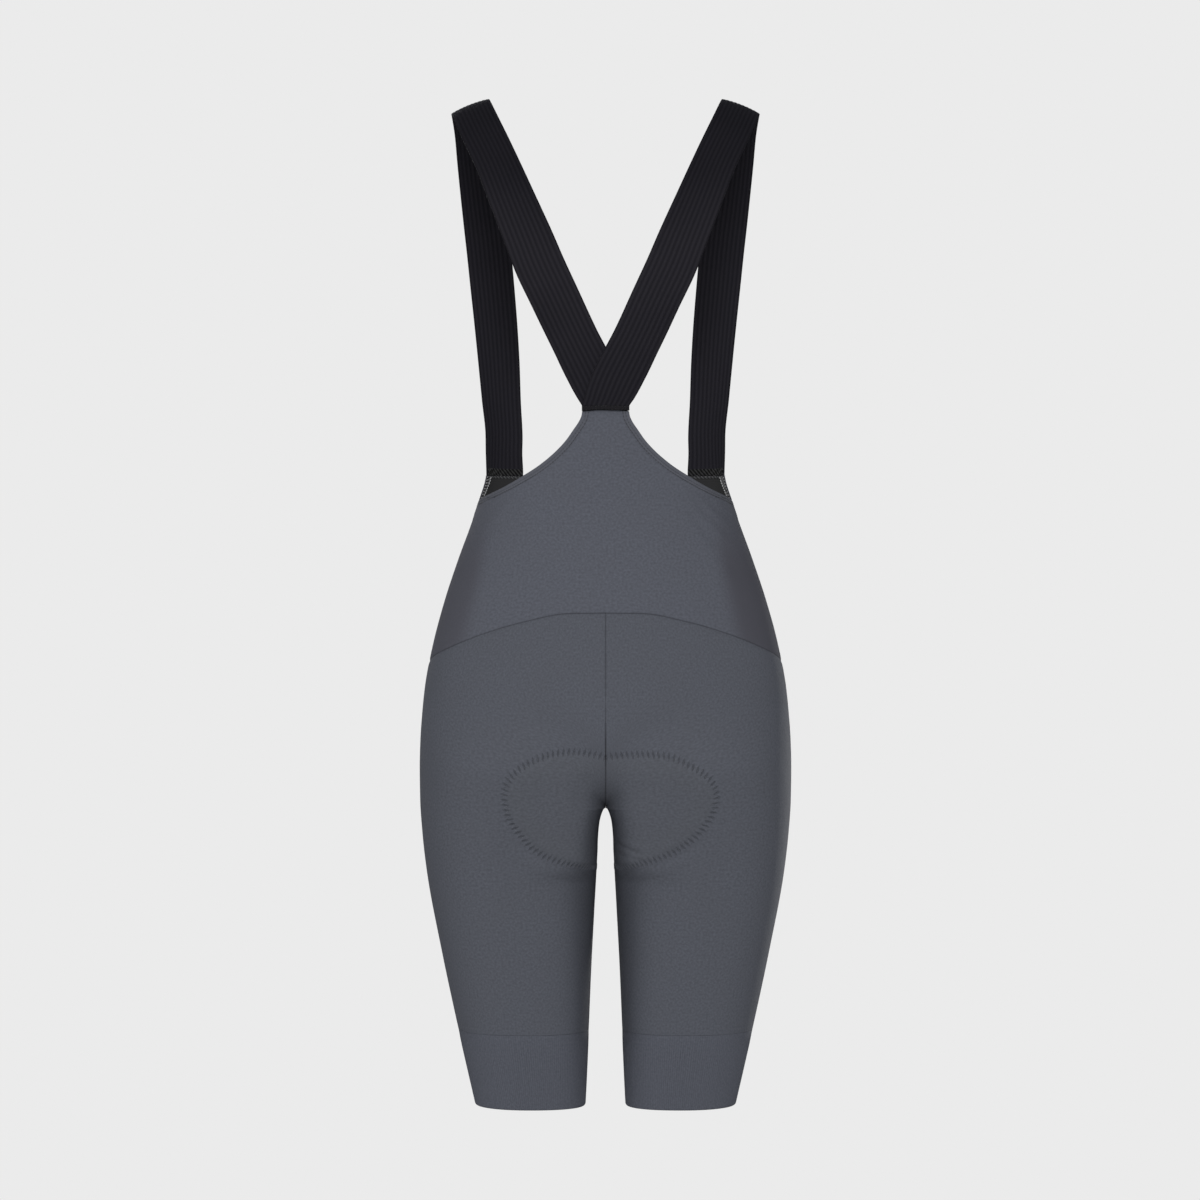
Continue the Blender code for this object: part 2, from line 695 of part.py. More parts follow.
def pad_edge_round(row, side):
    """How far round the pad's outline crosses one row of the leg panel."""
    front = side == "front"
    low, high = (1.0, 0.5) if front else (0.0, 0.5)
    for _ in range(40):
        middle = (low + high) / 2
        z = leg_row_heights(middle)[row]
        if surface(middle, z)[0] < PAD_OUTLINE.read(side, z):
            low = middle
        else:
            high = middle
    return (low + high) / 2


def pad_row(row, side):
    """Points, thickness directions and distances round from the centre of one row of a quarter of the pad."""
    points, outs, distances = [], [], []
    end = pad_edge_round(row, side)
    order = range(len(ROUNDS)) if side != "front" else range(len(ROUNDS) - 1, -1, -1)
    rounds = [abs(ROUNDS[i] - ROUNDS[order[0]]) for i in order]
    end = abs(end - ROUNDS[order[0]])
    for k, i in enumerate(order):
        share = 1.0 if rounds[k] < end else (end - rounds[k - 1]) / (rounds[k] - rounds[k - 1])
        before = order[max(k - 1, 0)]
        points.append(LEG_POINTS[row, before] * (1 - share) + LEG_POINTS[row, i] * share)
        outs.append(LEG_OUTS[row, before] * (1 - share) + LEG_OUTS[row, i] * share)
        distances.append(min(rounds[k], end))
        if rounds[k] >= end:
            break
    return points, outs, distances


def zipped(upper, lower, upper_at, lower_at, upper_first):
    """Triangles between two rows of point numbers whose places along the row differ."""
    faces, i, k = [], 0, 0
    while i < len(upper) - 1 or k < len(lower) - 1:
        ahead = upper_at[i + 1] if i < len(upper) - 1 else math.inf
        below = lower_at[k + 1] if k < len(lower) - 1 else math.inf
        if ahead < below or (ahead == below and upper_first):
            faces.append((upper[i], lower[k], upper[i + 1]))
            i += 1
        else:
            faces.append((upper[i], lower[k], lower[k + 1]))
            k += 1
    return [face for face in faces if len(set(face)) == 3]


def seat_pad(name):
    """The padded seat piece inside both legs, thickest near its middle and thin along its sewn outline."""
    base, outs, thick, number, faces = [], [], [], {}, []
    bottom = LEG_ROWS_ABOVE + PAD_ROWS_BELOW

    def point_id(key, point, out, thickness):
        if key not in number:
            number[key] = len(base)
            base.append(point)
            outs.append(out)
            thick.append(thickness)
        return number[key]

    quarters = (("left", 1, "left"), ("right", -1, "right"), ("left", 1, "front"), ("right", -1, "front"))
    for side, sign, back in quarters:
        mirror = np.array((sign, 1, 1))
        front = back == "front"
        top = LEG_ROWS_ABOVE - (PAD_ROWS_FRONT if front else PAD_ROWS_BACK)
        rows = []
        for row in range(top, bottom + 1):
            points, directions, distances = pad_row(row, back)
            fullness = math.sin(math.pi * (row - top) / (bottom + 1 - top)) ** 0.5
            seam = front if row < LEG_ROWS_ABOVE else side if row > LEG_ROWS_ABOVE else "crotch"
            ids = []
            for k, (point, out, distance) in enumerate(zip(points, directions, distances)):
                core = fullness * (1 - (distance / distances[-1]) ** 2)
                thickness = PAD_EDGE_THICKNESS + (PAD_CORE_THICKNESS - PAD_EDGE_THICKNESS) * core
                key = (row, seam) if k == 0 else (row, side, front, k)
                ids.append(point_id(key, point * mirror, out * mirror, thickness))
            rows.append((ids, distances))
        row_z, next_z = LEG_POINTS[bottom, 0, 2], LEG_POINTS[bottom + 1, 0, 2]
        low = (row_z - PAD_LOWEST) / (row_z - next_z)
        tip = LEG_POINTS[bottom, 0] * (1 - low) + LEG_POINTS[bottom + 1, 0] * low
        tip_out = LEG_OUTS[bottom, 0] * (1 - low) + LEG_OUTS[bottom + 1, 0] * low
        tip_id = point_id(("tip", side), tip * mirror, tip_out * mirror, PAD_EDGE_THICKNESS)
        rows.append(([tip_id], [0.0]))
        for (upper, upper_at), (lower, lower_at) in zip(rows[:-1], rows[1:]):
            found = zipped(upper, lower, upper_at, lower_at, upper_first=front)
            faces += [tuple(reversed(face)) for face in found] if (sign > 0) != front else found
    base, outs, thick = np.array(base), np.array(outs), np.array(thick)
    outer = base - outs * (KNIT_WALL + PAD_GAP)
    inner = outer - outs * thick[:, None]
    points, faces = thickened(outer, inner, faces)
    return add_object(name, points, faces, "seat_pad")


def main():
    for obj in list(bpy.data.objects):
        bpy.data.objects.remove(obj, do_unlink=True)
    bib_panel("back_bib", list(range(SIDE_COLUMN + 1)))
    bib_panel("front_bib", list(range(SIDE_COLUMN, len(ROUNDS))))
    for side in ("left", "right"):
        leg_panel(f"leg_panel_{side}", side == "left")
        leg_gripper(f"leg_gripper_{side}", side == "left")
        strap(f"strap_{side}", side == "left")
    junction_tape("strap_junction_tape")
    seat_pad("seat_pad")


main()
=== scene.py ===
"""Women's cycling bib shorts, filled out as when worn: knit bib and legs, ribbed elastic straps, ribbed leg
grippers, turned hems, overlocked edges and a quilted seat pad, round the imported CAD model."""

import math

import bpy
import numpy as np
from mathutils import Matrix, Vector
from mathutils.bvhtree import BVHTree


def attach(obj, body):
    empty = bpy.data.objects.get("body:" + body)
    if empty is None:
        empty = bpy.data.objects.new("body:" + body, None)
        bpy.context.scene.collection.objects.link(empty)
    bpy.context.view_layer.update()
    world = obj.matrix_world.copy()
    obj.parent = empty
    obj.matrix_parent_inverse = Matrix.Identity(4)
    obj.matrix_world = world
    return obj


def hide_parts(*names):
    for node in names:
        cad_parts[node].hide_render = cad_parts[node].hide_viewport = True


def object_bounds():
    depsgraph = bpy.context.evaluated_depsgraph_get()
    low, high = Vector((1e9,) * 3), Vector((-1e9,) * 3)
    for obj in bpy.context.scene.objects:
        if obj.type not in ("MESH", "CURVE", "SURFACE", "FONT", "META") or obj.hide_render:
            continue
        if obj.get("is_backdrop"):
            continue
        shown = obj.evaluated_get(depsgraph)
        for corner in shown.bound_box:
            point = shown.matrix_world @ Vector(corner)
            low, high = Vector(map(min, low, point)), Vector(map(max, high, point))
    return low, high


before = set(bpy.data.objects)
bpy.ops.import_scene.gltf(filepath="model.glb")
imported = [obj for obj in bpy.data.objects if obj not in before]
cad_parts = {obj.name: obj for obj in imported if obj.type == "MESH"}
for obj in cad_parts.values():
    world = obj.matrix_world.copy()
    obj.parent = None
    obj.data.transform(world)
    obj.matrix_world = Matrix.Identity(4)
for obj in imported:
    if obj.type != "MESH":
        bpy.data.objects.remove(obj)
CAD_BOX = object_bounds()

MM = 0.001
TURN = 2 * math.pi

# Walls, seams and the strips sewn inside, in metres
KNIT_WALL = 0.0012
KNIT_LEAST = 0.0005
GRIPPER_WALL = 0.0014
STRAP_WALL = 0.0015
SEAM_GAP = 0.0001
SEAM_DIP = 0.0006
SEAM_REACH = 0.0022
# width of the painted shadow along the seams
SEAM_SHADOW_WIDTH = 0.00065
RIM_DROP = 0.00045
RIM_REACH = 0.00055
ALLOWANCE_WIDTH = 0.0064
ALLOWANCE_WALL = 0.0009
ALLOWANCE_END = 0.0037
CENTRE_STRIP = 0.0056
POINT_STRIP = 0.0125
POINT_HALF_WIDTH = 0.0200
POINT_RISE = 0.0012
FRONT_HEM_STRIP = 0.0078
FOOT_EDGE_STRIP = 0.0022
FOOT_STRIP = 0.0066
FOOT_STRIP_WALL = 0.0010
FOOT_LOOPS = 0.00045
FOOT_SPACING = 0.0007
LOOP_PITCH = 0.0028
LOOP_SLANT = 0.30

# Heights, in metres below the top of the shoulders
APEX_HEIGHT = -0.2820
FOOT_HEIGHT = -0.3363
SIDE_TOP_HEIGHT = -0.3610
SIDE_SEAM_MIDDLE = -0.45
CROTCH_HEIGHT = -0.6400
GRIPPER_HEIGHT = -0.8455
HEM_HEIGHT = -0.9145

# Where the strap feet end on the front panel, and how far the neckline dips between them, in metres
FOOT_OUTER_X = 0.1110
FOOT_INNER_X = 0.0775
NECK_DIP = 0.048

# Body sections from top to bottom, in mm: height, half width, depth behind and in front of the shoulder plane,
# and where the widest point of the section lies
SECTION_COLUMNS = ("height", "half_width", "back", "front", "side")
SECTIONS = (
    (-270, 112.0, 84.5, 88.0, -42.0),
    (-305, 111.0, 82.0, 88.0, -42.0),
    (-337, 111.7, 80.5, 88.0, -42.0),
    (-360, 116.8, 80.5, 90.5, -30.0),
    (-380, 123.2, 82.5, 92.0, -20.0),
    (-415, 135.5, 87.0, 94.5, -8.0),
    (-450, 146.9, 94.0, 96.5, 0.0),
    (-490, 157.8, 104.5, 98.0, 0.0),
    (-530, 165.6, 114.5, 98.2, 0.0),
    (-555, 168.2, 119.6, 98.0, 0.0),
    (-580, 169.9, 121.8, 96.6, 0.0),
    (-605, 170.5, 120.0, 93.8, 0.0),
    (-635, 170.1, 113.9, 89.4, 0.0),
    (-665, 168.1, 106.6, 85.2, 0.0),
    (-700, 164.1, 98.4, 81.0, 0.0),
    (-775, 150.1, 84.5, 74.0, 0.0),
    (-850, 134.0, 71.0, 64.0, 0.0),
    (-920, 118.0, 57.5, 51.5, 0.0),
)

# Half gap between the thighs below the crotch, in mm
THIGH_GAP_COLUMNS = ("height", "half_gap")
THIGH_GAP = ((-680, 7.1), (-737, 10.2), (-790, 13.0), (-847, 15.4), (-902, 17.9), (-920, 18.9))
CROTCH_ARCH_DEPTH = 0.040
CROTCH_Y = 0.005
BACK_RISE = 0.075
FRONT_RISE = 0.085
BACK_RISE_POWER = 3.2
FRONT_RISE_POWER = 2.2
BRIDGE = 0.012
HIP_BLEND = (0.030, 0.110)
TORSO_POWER = 2.25
OUTER_THIGH_POWER = 2.15
INNER_THIGH_POWER = 2.4
PAD_FULLNESS = 1.9
PAD_FULL_FROM = -0.684
PAD_FULL_OVER = 0.024

# Waist seam: share of the way round from centre back to centre front, and its height in mm
WAIST_COLUMNS = ("round", "height")
WAIST_SEAM = (
    (0.00, -463.6), (0.08, -464.0), (0.19, -472.4), (0.27, -481.9), (0.38, -497.0),
    (0.50, -509.5), (0.65, -522.0), (0.80, -531.0), (1.00, -536.0),
)

# Armhole edge of the back panel, in mm, from the side seam up to the point
ARMHOLE_COLUMNS = ("height", "half_width")
ARMHOLE = (
    (-361.0, 119.5), (-358.7, 114.5), (-350.1, 94.4), (-339.8, 75.3), (-330.1, 59.7), (-316.9, 43.8),
    (-308.0, 35.6), (-299.1, 29.3), (-290.2, 23.4), (-286.0, 21.7), (-282.0, 21.1),
)

# Left strap, in mm: centre line, direction from its inner to its outer edge, width, and how far its middle bows
STRAP = (
    (94.3, -64.0, -336.3, 0.76, 0.65, 0.00, 43.5, 4.5),
    (94.3, -73.5, -302.0, 0.79, 0.60, 0.13, 43.0, 3.5),
    (97.2, -84.0, -264.4, 0.84, 0.54, 0.07, 43.0, 2.5),
    (99.9, -92.0, -226.3, 0.88, 0.48, 0.01, 43.8, 2.0),
    (103.1, -97.0, -188.4, 0.90, 0.43, -0.06, 44.2, 1.5),
    (106.7, -97.0, -150.7, 0.92, 0.36, -0.12, 44.0, 1.5),
    (110.3, -91.0, -113.6, 0.93, 0.30, -0.18, 43.8, 1.5),
    (114.9, -79.0, -77.1, 0.93, 0.25, -0.24, 41.8, 1.5),
    (118.9, -59.0, -41.9, 0.92, 0.20, -0.30, 40.0, 1.5),
    (121.6, -33.0, -14.0, 0.91, 0.20, -0.36, 39.0, 1.5),
    (123.8, 0.0, 0.0, 0.90, 0.20, -0.38, 38.5, 1.5),
    (115.4, 38.0, -19.8, 0.91, 0.22, -0.34, 39.5, 1.5),
    (97.5, 68.5, -59.2, 0.92, 0.33, -0.20, 42.0, 1.5),
    (83.8, 86.0, -92.5, 0.92, 0.27, -0.28, 43.0, 1.2),
    (68.5, 96.5, -129.4, 0.92, 0.14, -0.36, 44.2, 1.0),
    (59.3, 99.5, -152.0, 0.91, 0.04, -0.41, 44.8, 0.8),
    (44.4, 100.5, -183.4, 0.91, 0.00, -0.42, 44.0, 0.5),
    (27.3, 97.0, -219.0, 0.90, 0.00, -0.43, 43.0, 0.0),
    (9.6, 89.5, -254.5, 0.99, 0.00, -0.14, 46.0, 0.0),
    (0.0, 83.4, -277.4, 1.00, 0.00, 0.00, 42.4, 0.0),
)
TAPE_HALF_WIDTH = 0.0214
TAPE_THICKNESS = 0.0046
TAPE_OVERLAP = 0.0004
TAPE_ARCH = 0.0009
TAPE_UNEVEN = 0.0002
TAPE_RELIEF = 0.00012
TAPE_WAVE = 0.0007
STRAP_RIBS = 10
STRAP_RIB_HEIGHT = 0.00028
SELVEDGE_RISE = 0.00012
CROSSING = (-0.165, -0.212)
TAPE_TOP = -0.2774
TAPE_Y = 0.0834
STRAP_HALF_WIDTH = 0.0215
CROSSING_CURVE = 2.0

# Zigzag seam round the seat pad, in mm: distance from the centre and height, behind on each side, and in front
PAD_SEAMS = {
    "left": (
        (0.0, -592.0), (18.0, -588.6), (38.3, -588.0), (53.2, -591.3), (68.1, -597.2),
        (83.0, -608.4), (90.2, -621.0), (89.7, -635.9), (85.6, -649.4), (78.5, -659.8),
        (69.6, -670.9), (57.6, -680.0), (42.8, -686.4), (24.5, -691.4), (10.4, -694.6),
    ),
    "right": (
        (0.0, -592.0), (18.0, -590.4), (38.0, -589.8), (56.0, -591.6), (72.0, -598.0),
        (88.0, -607.3), (97.0, -618.0), (99.4, -630.0), (95.6, -643.5), (84.5, -660.0),
        (66.1, -675.0), (51.2, -682.5), (38.0, -687.2), (10.4, -694.6),
    ),
    "front": (
        (10.4, -694.6), (26.0, -686.0), (40.0, -675.0), (52.0, -655.0), (55.0, -628.0),
        (52.0, -600.0), (47.5, -574.0), (30.0, -563.5), (0.0, -561.0),
    ),
}
PAD_TIP = -0.6962
PAST_CENTRE = -5
# Where the pad's outline turns its upper and lower corners, as shares of its length from the top to its tip
PAD_CORNERS = {"left": (0.17, 0.88), "right": (0.19, 0.86), "front": (0.25, 0.85)}
ZIGZAG_WIDTH = 0.0062
ZIGZAG_PITCH = 0.0047
ZIGZAG_SOFTNESS = 0.0024
ZIGZAG_POINTS = 12
# How far the pad lifts the cloth, how far the cloth sinks and waves along the seam, and how far and between which
# depths it sinks below the pad; and the heights above which the pad shows all the way to the thigh gap
PAD_LIFT = 0.0007
PAD_RISES = (-0.0005, 0.007)
PAD_SEAM_DIP = 0.00045
PAD_SEAM_REACH = 0.0024
PAD_SEAM_WAVE = 0.00030
PAD_WAVE_REACH = 0.0042
PAD_LOW_DIP = 0.0010
PAD_LOW_OFF = 0.0060
PAD_LOW_REACH = 0.0036
PAD_LOW = (0.640, 0.672)
PAD_SHOWS = (-0.655, -0.640)

# Centre seam: heights between which it deepens, where it is shallowest, and between which it fades out
SEAM_DEEPENS = (-0.556, -0.588)
SEAM_SHALLOWEST = -0.545
SEAM_FADES = (-0.6385, -0.630)

# Turned hem of the armholes, and the rows of stitches along it
HEM_BAND = 0.0065
HEM_BAND_RISE = 0.0005
HEM_STRIP = HEM_BAND - 0.0006
HEM_ROWS = (0.0034, 0.0058)
HEM_ROW_SOFTNESS = 0.00042
STITCH_LENGTH = 0.0021
STITCH_PITCH = 0.0029
THREAD = 0.00021
STITCH_BOW = -7.0
INNER_ROW = 0.0070
INNER_THREAD = 0.00036

# Leg grippers
GRIPPER_RIBS = 196
RIB_ROUNDNESS = 0.65
GRIPPER_RIB_HEIGHT = 0.00034
GRIPPER_DIP = 0.00004
GRIPPER_DIP_REACH = 0.0012

# Girths in metres that one turn of u stands for, on the flat cloth
LEG_GIRTH = 0.47
FRONT_GIRTH = 0.40
GRIPPER_GIRTH = 0.37

# How closely points lie along stitched paths and along strips, in metres
PATH_SPACING = 0.0012
STRIP_SPACING = 0.0008
# How much closer the leg's rows lie at the waist and the gripper beside the centre seams
ROW_CROWDING = 0.6

# Distances of the columns of points from a hem's edge, in mm
HEM_COLUMNS = (0, 0.4, 0.9, 1.6, 2.5, 3.6, 4.8, 5.7, 6.3, 6.9, 7.6, 8.8)
# How many times these distances are lengthened, at most, where the edge runs aslant
MOST_STRETCH_BEHIND = 2.45
MOST_STRETCH_IN_FRONT = 1.6

SIDES = ("left", "right")
STRAPS = ("strap_left", "strap_right")

# The cut of each cloth piece, in metres: width, length, flat area where it isn't a rectangle, how it is held,
# and what it hangs from or lies on
CUTS = {
    "back_bib": (0.43, 0.235, 0.058, "stretched", STRAPS),
    "front_bib": (0.42, 0.205, 0.065, "stretched", STRAPS),
    "leg_panel_left": (0.55, 0.40, 0.168, "stretched", ("back_bib", "front_bib")),
    "leg_panel_right": (0.55, 0.40, 0.168, "stretched", ("back_bib", "front_bib")),
    "leg_gripper_left": (0.365, 0.069, None, "stretched", ("leg_panel_left",)),
    "leg_gripper_right": (0.365, 0.069, None, "stretched", ("leg_panel_right",)),
    "strap_left": (0.043, 0.72, None, "stretched", ()),
    "strap_right": (0.043, 0.72, None, "stretched", ()),
    "strap_junction_tape": (0.043, 0.0105, None, "folded", STRAPS),
}


# Tables of sizes, read along smooth curves


def knot_slopes(knots, values):
    """Slopes at the knots: weighted means of the slopes on both sides, and nought at a peak or a dip."""
    step, slope = np.diff(knots), np.diff(values) / np.diff(knots)
    slopes = np.zeros(len(knots))
    slopes[0], slopes[-1] = slope[0], slope[-1]
    before, after, left, right = step[:-1], step[1:], slope[:-1], slope[1:]
    same = left * right > 0
    weighted = (2 * after + before)[same] / left[same] + (after + 2 * before)[same] / right[same]
    slopes[1:-1][same] = 3 * (before + after)[same] / weighted
    return slopes


def hermite(t, start, end, leaving, arriving):
    """A smooth curve from start to end, at shares t of the way, that leaves and arrives at the given rates."""
    return (
        (2 * t**3 - 3 * t**2 + 1) * start
        + (t**3 - 2 * t**2 + t) * leaving
        + (3 * t**2 - 2 * t**3) * end
        + (t**3 - t**2) * arriving
    )


def smooth_curve(knots, values, at):
    """Values along a curve through the knots that turns gently and never overshoots them."""
    at = np.clip(np.asarray(at, float), knots[0], knots[-1])
    slopes = knot_slopes(knots, values)
    i = np.clip(np.searchsorted(knots, at, side="right") - 1, 0, len(knots) - 2)
    step = knots[i + 1] - knots[i]
    return hermite((at - knots[i]) / step, values[i], values[i + 1], slopes[i] * step, slopes[i + 1] * step)


class Table:
    """A table of sizes whose first column rises or falls all the way."""

    def __init__(self, columns, rows, first_scale=MM):
        values = np.array(rows, float)
        self.at = values[:, 0] * first_scale
        self.values = {n: values[:, i] * MM for i, n in enumerate(columns)}
        if self.at[0] > self.at[-1]:
            self.at = self.at[::-1]
            self.values = {n: v[::-1] for n, v in self.values.items()}

    def read(self, name, at):
        return smooth_curve(self.at, self.values[name], at)


BODY = Table(SECTION_COLUMNS, SECTIONS)
GAP = Table(THIGH_GAP_COLUMNS, THIGH_GAP)
ARCH_GAP = GAP.read("half_gap", CROTCH_HEIGHT - CROTCH_ARCH_DEPTH)
WAIST = Table(WAIST_COLUMNS, WAIST_SEAM, first_scale=1.0)
ARM_EDGE = Table(ARMHOLE_COLUMNS, ARMHOLE)


def smooth_step(low, high, value):
    t = np.clip((np.asarray(value, float) - low) / (high - low), 0.0, 1.0)
    return t * t * (3 - 2 * t)


def bell(distance, width):
    return np.exp(-((distance / width) ** 2))


# The shape of the body that fills the garment


def quarter(start, end, power, leads, count=400):
    """Superellipse quarter from start to end that sets off along the axis `leads` and ends along the other."""
    turn = np.linspace(0, math.pi / 2, count)
    first, second = np.sin(turn) ** (2 / power), 1 - np.abs(np.cos(turn)) ** (2 / power)
    share = [second, second]
    share[leads] = first
    return np.stack([start[k] + (end[k] - start[k]) * share[k] for k in (0, 1)], axis=1)


def path_length(points):
    """How far along a path each of its points lies."""
    return np.r_[0, np.cumsum(np.linalg.norm(np.diff(points, axis=0), axis=1))]


def read_along(rows, lengths, at):
    """Rows of a path, whose places along it are given, read at other places along it."""
    return np.stack([np.interp(at, lengths, column) for column in rows.T], axis=1)


def evenly(path, steps, lengths=None):
    """A path read at evenly spaced places, along itself unless other lengths are given."""
    lengths = path_length(path) if lengths is None else lengths
    return read_along(path, lengths, np.linspace(0, lengths[-1], steps + 1))


def half_gap(z):
    """Half the gap between the thighs at one height, arched at the crotch."""
    below = CROTCH_HEIGHT - z
    if below <= 0:
        return 0.0
    if below >= CROTCH_ARCH_DEPTH:
        return GAP.read("half_gap", z)
    return ARCH_GAP * math.sqrt(1 - (1 - below / CROTCH_ARCH_DEPTH) ** 2)


def wide_gap(z):
    """Half the gap with a gentle start below the crotch, as the cloth away from the inseam follows it."""
    below = CROTCH_HEIGHT - z
    if 0 <= below < CROTCH_ARCH_DEPTH:
        return ARCH_GAP * float(smooth_step(0, CROTCH_ARCH_DEPTH, below))
    return half_gap(z)


def bridged(path, z, depth, rise, power):
    """The inner quarter above the crotch, where the cloth spans the hollow instead of following it in."""
    above = z - CROTCH_HEIGHT
    if above <= 0:
        return path
    left = 1 - min(above / rise, 1.0)
    start = path[0, 1]
    reach = start + (depth - start) * (1 - left**power) ** (1 / power)
    blend = BRIDGE * (1 - math.exp(-above / (BRIDGE / 2)))

    def larger(value):
        return (reach + value + np.hypot(reach - value, blend)) / 2

    out = path.copy()
    out[:, 1] = start + (larger(path[:, 1]) - start) * (depth - start) / (larger(depth) - start)
    return out


def half_section(z, steps):
    """The left half of the body's section at one height, from centre back round the side to centre front."""
    wide, back, front, side = [BODY.read(name, z) for name in SECTION_COLUMNS[1:]]
    torso = np.vstack(
        (
            evenly(quarter((0, back), (wide, side), TORSO_POWER, 0), 2 * steps)[:-1],
            evenly(quarter((wide, side), (0, -front), TORSO_POWER, 1), 2 * steps),
        )
    )
    torso_share = float(smooth_step(*HIP_BLEND, z - CROTCH_HEIGHT))
    if torso_share == 1:
        return torso
    inner = wide_gap(z)
    middle = (wide + inner) / 2
    filled = PAD_FULLNESS * float(smooth_step(PAD_FULL_FROM - PAD_FULL_OVER, PAD_FULL_FROM, z))
    back_in = evenly(quarter((inner, CROTCH_Y), (middle, back), INNER_THIGH_POWER + filled, 1), steps)
    front_in = evenly(quarter((inner, -CROTCH_Y), (middle, front), INNER_THIGH_POWER, 1), steps)
    thigh = np.vstack(
        (
            bridged(back_in, z, back, BACK_RISE, BACK_RISE_POWER)[:-1],
            evenly(quarter((middle, back), (wide, side), OUTER_THIGH_POWER, 0), steps)[:-1],
            evenly(quarter((wide, side), (middle, -front), OUTER_THIGH_POWER, 1), steps)[:-1],
            bridged(front_in, z, front, FRONT_RISE, FRONT_RISE_POWER)[::-1] * (1, -1),
        )
    )
    thigh[:, 0] += (half_gap(z) - inner) * np.clip((middle - thigh[:, 0]) / (middle - inner), 0, 1) ** 5
    return thigh + (torso - thigh) * torso_share


RING_STEPS = 90
RING_POWER = 1.6
ROUND_HALVINGS = 34
TOP_HEIGHT = -0.262
RING_HEIGHTS = np.concatenate(
    (
        CROTCH_HEIGHT + (HEM_HEIGHT - 0.004 - CROTCH_HEIGHT) * np.linspace(1, 0, 281)[:-1] ** RING_POWER,
        CROTCH_HEIGHT + (TOP_HEIGHT - CROTCH_HEIGHT) * np.linspace(0, 1, 381) ** RING_POWER,
    )
)
RINGS = np.array([half_section(z, RING_STEPS) for z in RING_HEIGHTS])


def surface(u, z):
    """Points of the garment's outer face: u runs from centre back (0) over the side (0.5) to centre front (1)."""
    u, z = np.broadcast_arrays(np.asarray(u, float), np.asarray(z, float))
    row = np.interp(z, RING_HEIGHTS, np.arange(len(RING_HEIGHTS)))
    column = np.clip(u, 0, 1) * (RINGS.shape[1] - 1)
    j = np.minimum(row.astype(int), len(RING_HEIGHTS) - 2)
    i = np.minimum(column.astype(int), RINGS.shape[1] - 2)
    a, b = (row - j)[..., None], (column - i)[..., None]
    low = RINGS[j, i] * (1 - b) + RINGS[j, i + 1] * b
    high = RINGS[j + 1, i] * (1 - b) + RINGS[j + 1, i + 1] * b
    flat = low * (1 - a) + high * a
    return np.concatenate((flat, z[..., None]), axis=-1)


def round_at(x, z, front=False):
    """How far round, as u, the section reaches a given half width, behind or in front of the side."""
    x, z = np.broadcast_arrays(np.asarray(x, float), np.asarray(z, float))
    low, high = np.full(x.shape, 1.0 if front else 0.0), np.full(x.shape, 0.5)
    for _ in range(ROUND_HALVINGS):
        middle = (low + high) / 2
        inside = surface(middle, z)[..., 0] < x
        low, high = np.where(inside, middle, low), np.where(inside, high, middle)
    return (low + high) / 2


FOOT_OUTER_ROUND = float(round_at(FOOT_OUTER_X, FOOT_HEIGHT, front=True))
FOOT_INNER_ROUND = float(round_at(FOOT_INNER_X, FOOT_HEIGHT, front=True))


def waist_height(u):
    return WAIST.read("height", u)


def side_girth_step(z):
    return np.linalg.norm(surface(0.51, z) - surface(0.49, z), axis=-1) / 0.02


# Cloth as closed walls


def numbered(shape):
    """Numbers for a grid's points, row by row."""
    return np.arange(shape[0] * shape[1]).reshape(shape)


def grid_cells(grid):
    """The four corners of each cell of a grid, of point numbers or of places on the flat cloth."""
    corners = (grid[:-1, :-1], grid[1:, :-1], grid[1:, 1:], grid[:-1, 1:])
    return np.stack(corners, axis=2).reshape(-1, 4, *grid.shape[2:])


def point_normals(points, cells):
    """Mean direction of the cells round each point."""
    across = points[cells[:, 2]] - points[cells[:, 0]]
    down = points[cells[:, 3]] - points[cells[:, 1]]
    cell_normals = np.cross(across, down)
    normals = np.zeros_like(points)
    for k in range(4):
        np.add.at(normals, cells[:, k], cell_normals)
    return normals / np.maximum(np.linalg.norm(normals, axis=1), 1e-12)[:, None]


def open_edges(cells):
    """The cells' edges that no other cell shares, each in its cell's own direction."""
    a = cells.ravel()
    b = np.roll(cells, -1, axis=1).ravel()
    size = int(cells.max()) + 1
    ahead, reverse = a * size + b, b * size + a
    alone = ~np.isin(ahead, reverse)
    return a[alone], b[alone]


def new_piece(name, points, faces, corners, material, values):
    """A mesh object in its place, with a UV map in metres and named values at its points."""
    mesh = bpy.data.meshes.new(name)
    mesh.from_pydata(points.tolist(), [], [tuple(f) for f in faces])
    mesh.update()
    mesh.shade_smooth()
    mesh.uv_layers.new(name="Cloth").data.foreach_set("uv", np.asarray(corners, np.float32).ravel())
    for key, value in values.items():
        mesh.attributes.new(key, "FLOAT", "POINT").data.foreach_set("value", value.astype(np.float32))
    mesh.materials.append(material)
    return shown_piece(name, mesh)


def shown_piece(name, mesh):
    piece = bpy.data.objects.new(name, mesh)
    bpy.context.scene.collection.objects.link(piece)
    return piece


def wall(name, ids, base, relief, cloth, thickness, material, flip=True, **more):
    """A closed wall: its outer face is the base sheet raised by relief, its inner face the sheet moved in.

    ids numbers the grid's points and cloth holds their places on the flat cloth.
    """
    if flip:
        ids, cloth = ids[:, ::-1], cloth[:, ::-1]
    return closed_wall(name, grid_cells(ids), grid_cells(cloth), base, relief, thickness, material, **more)


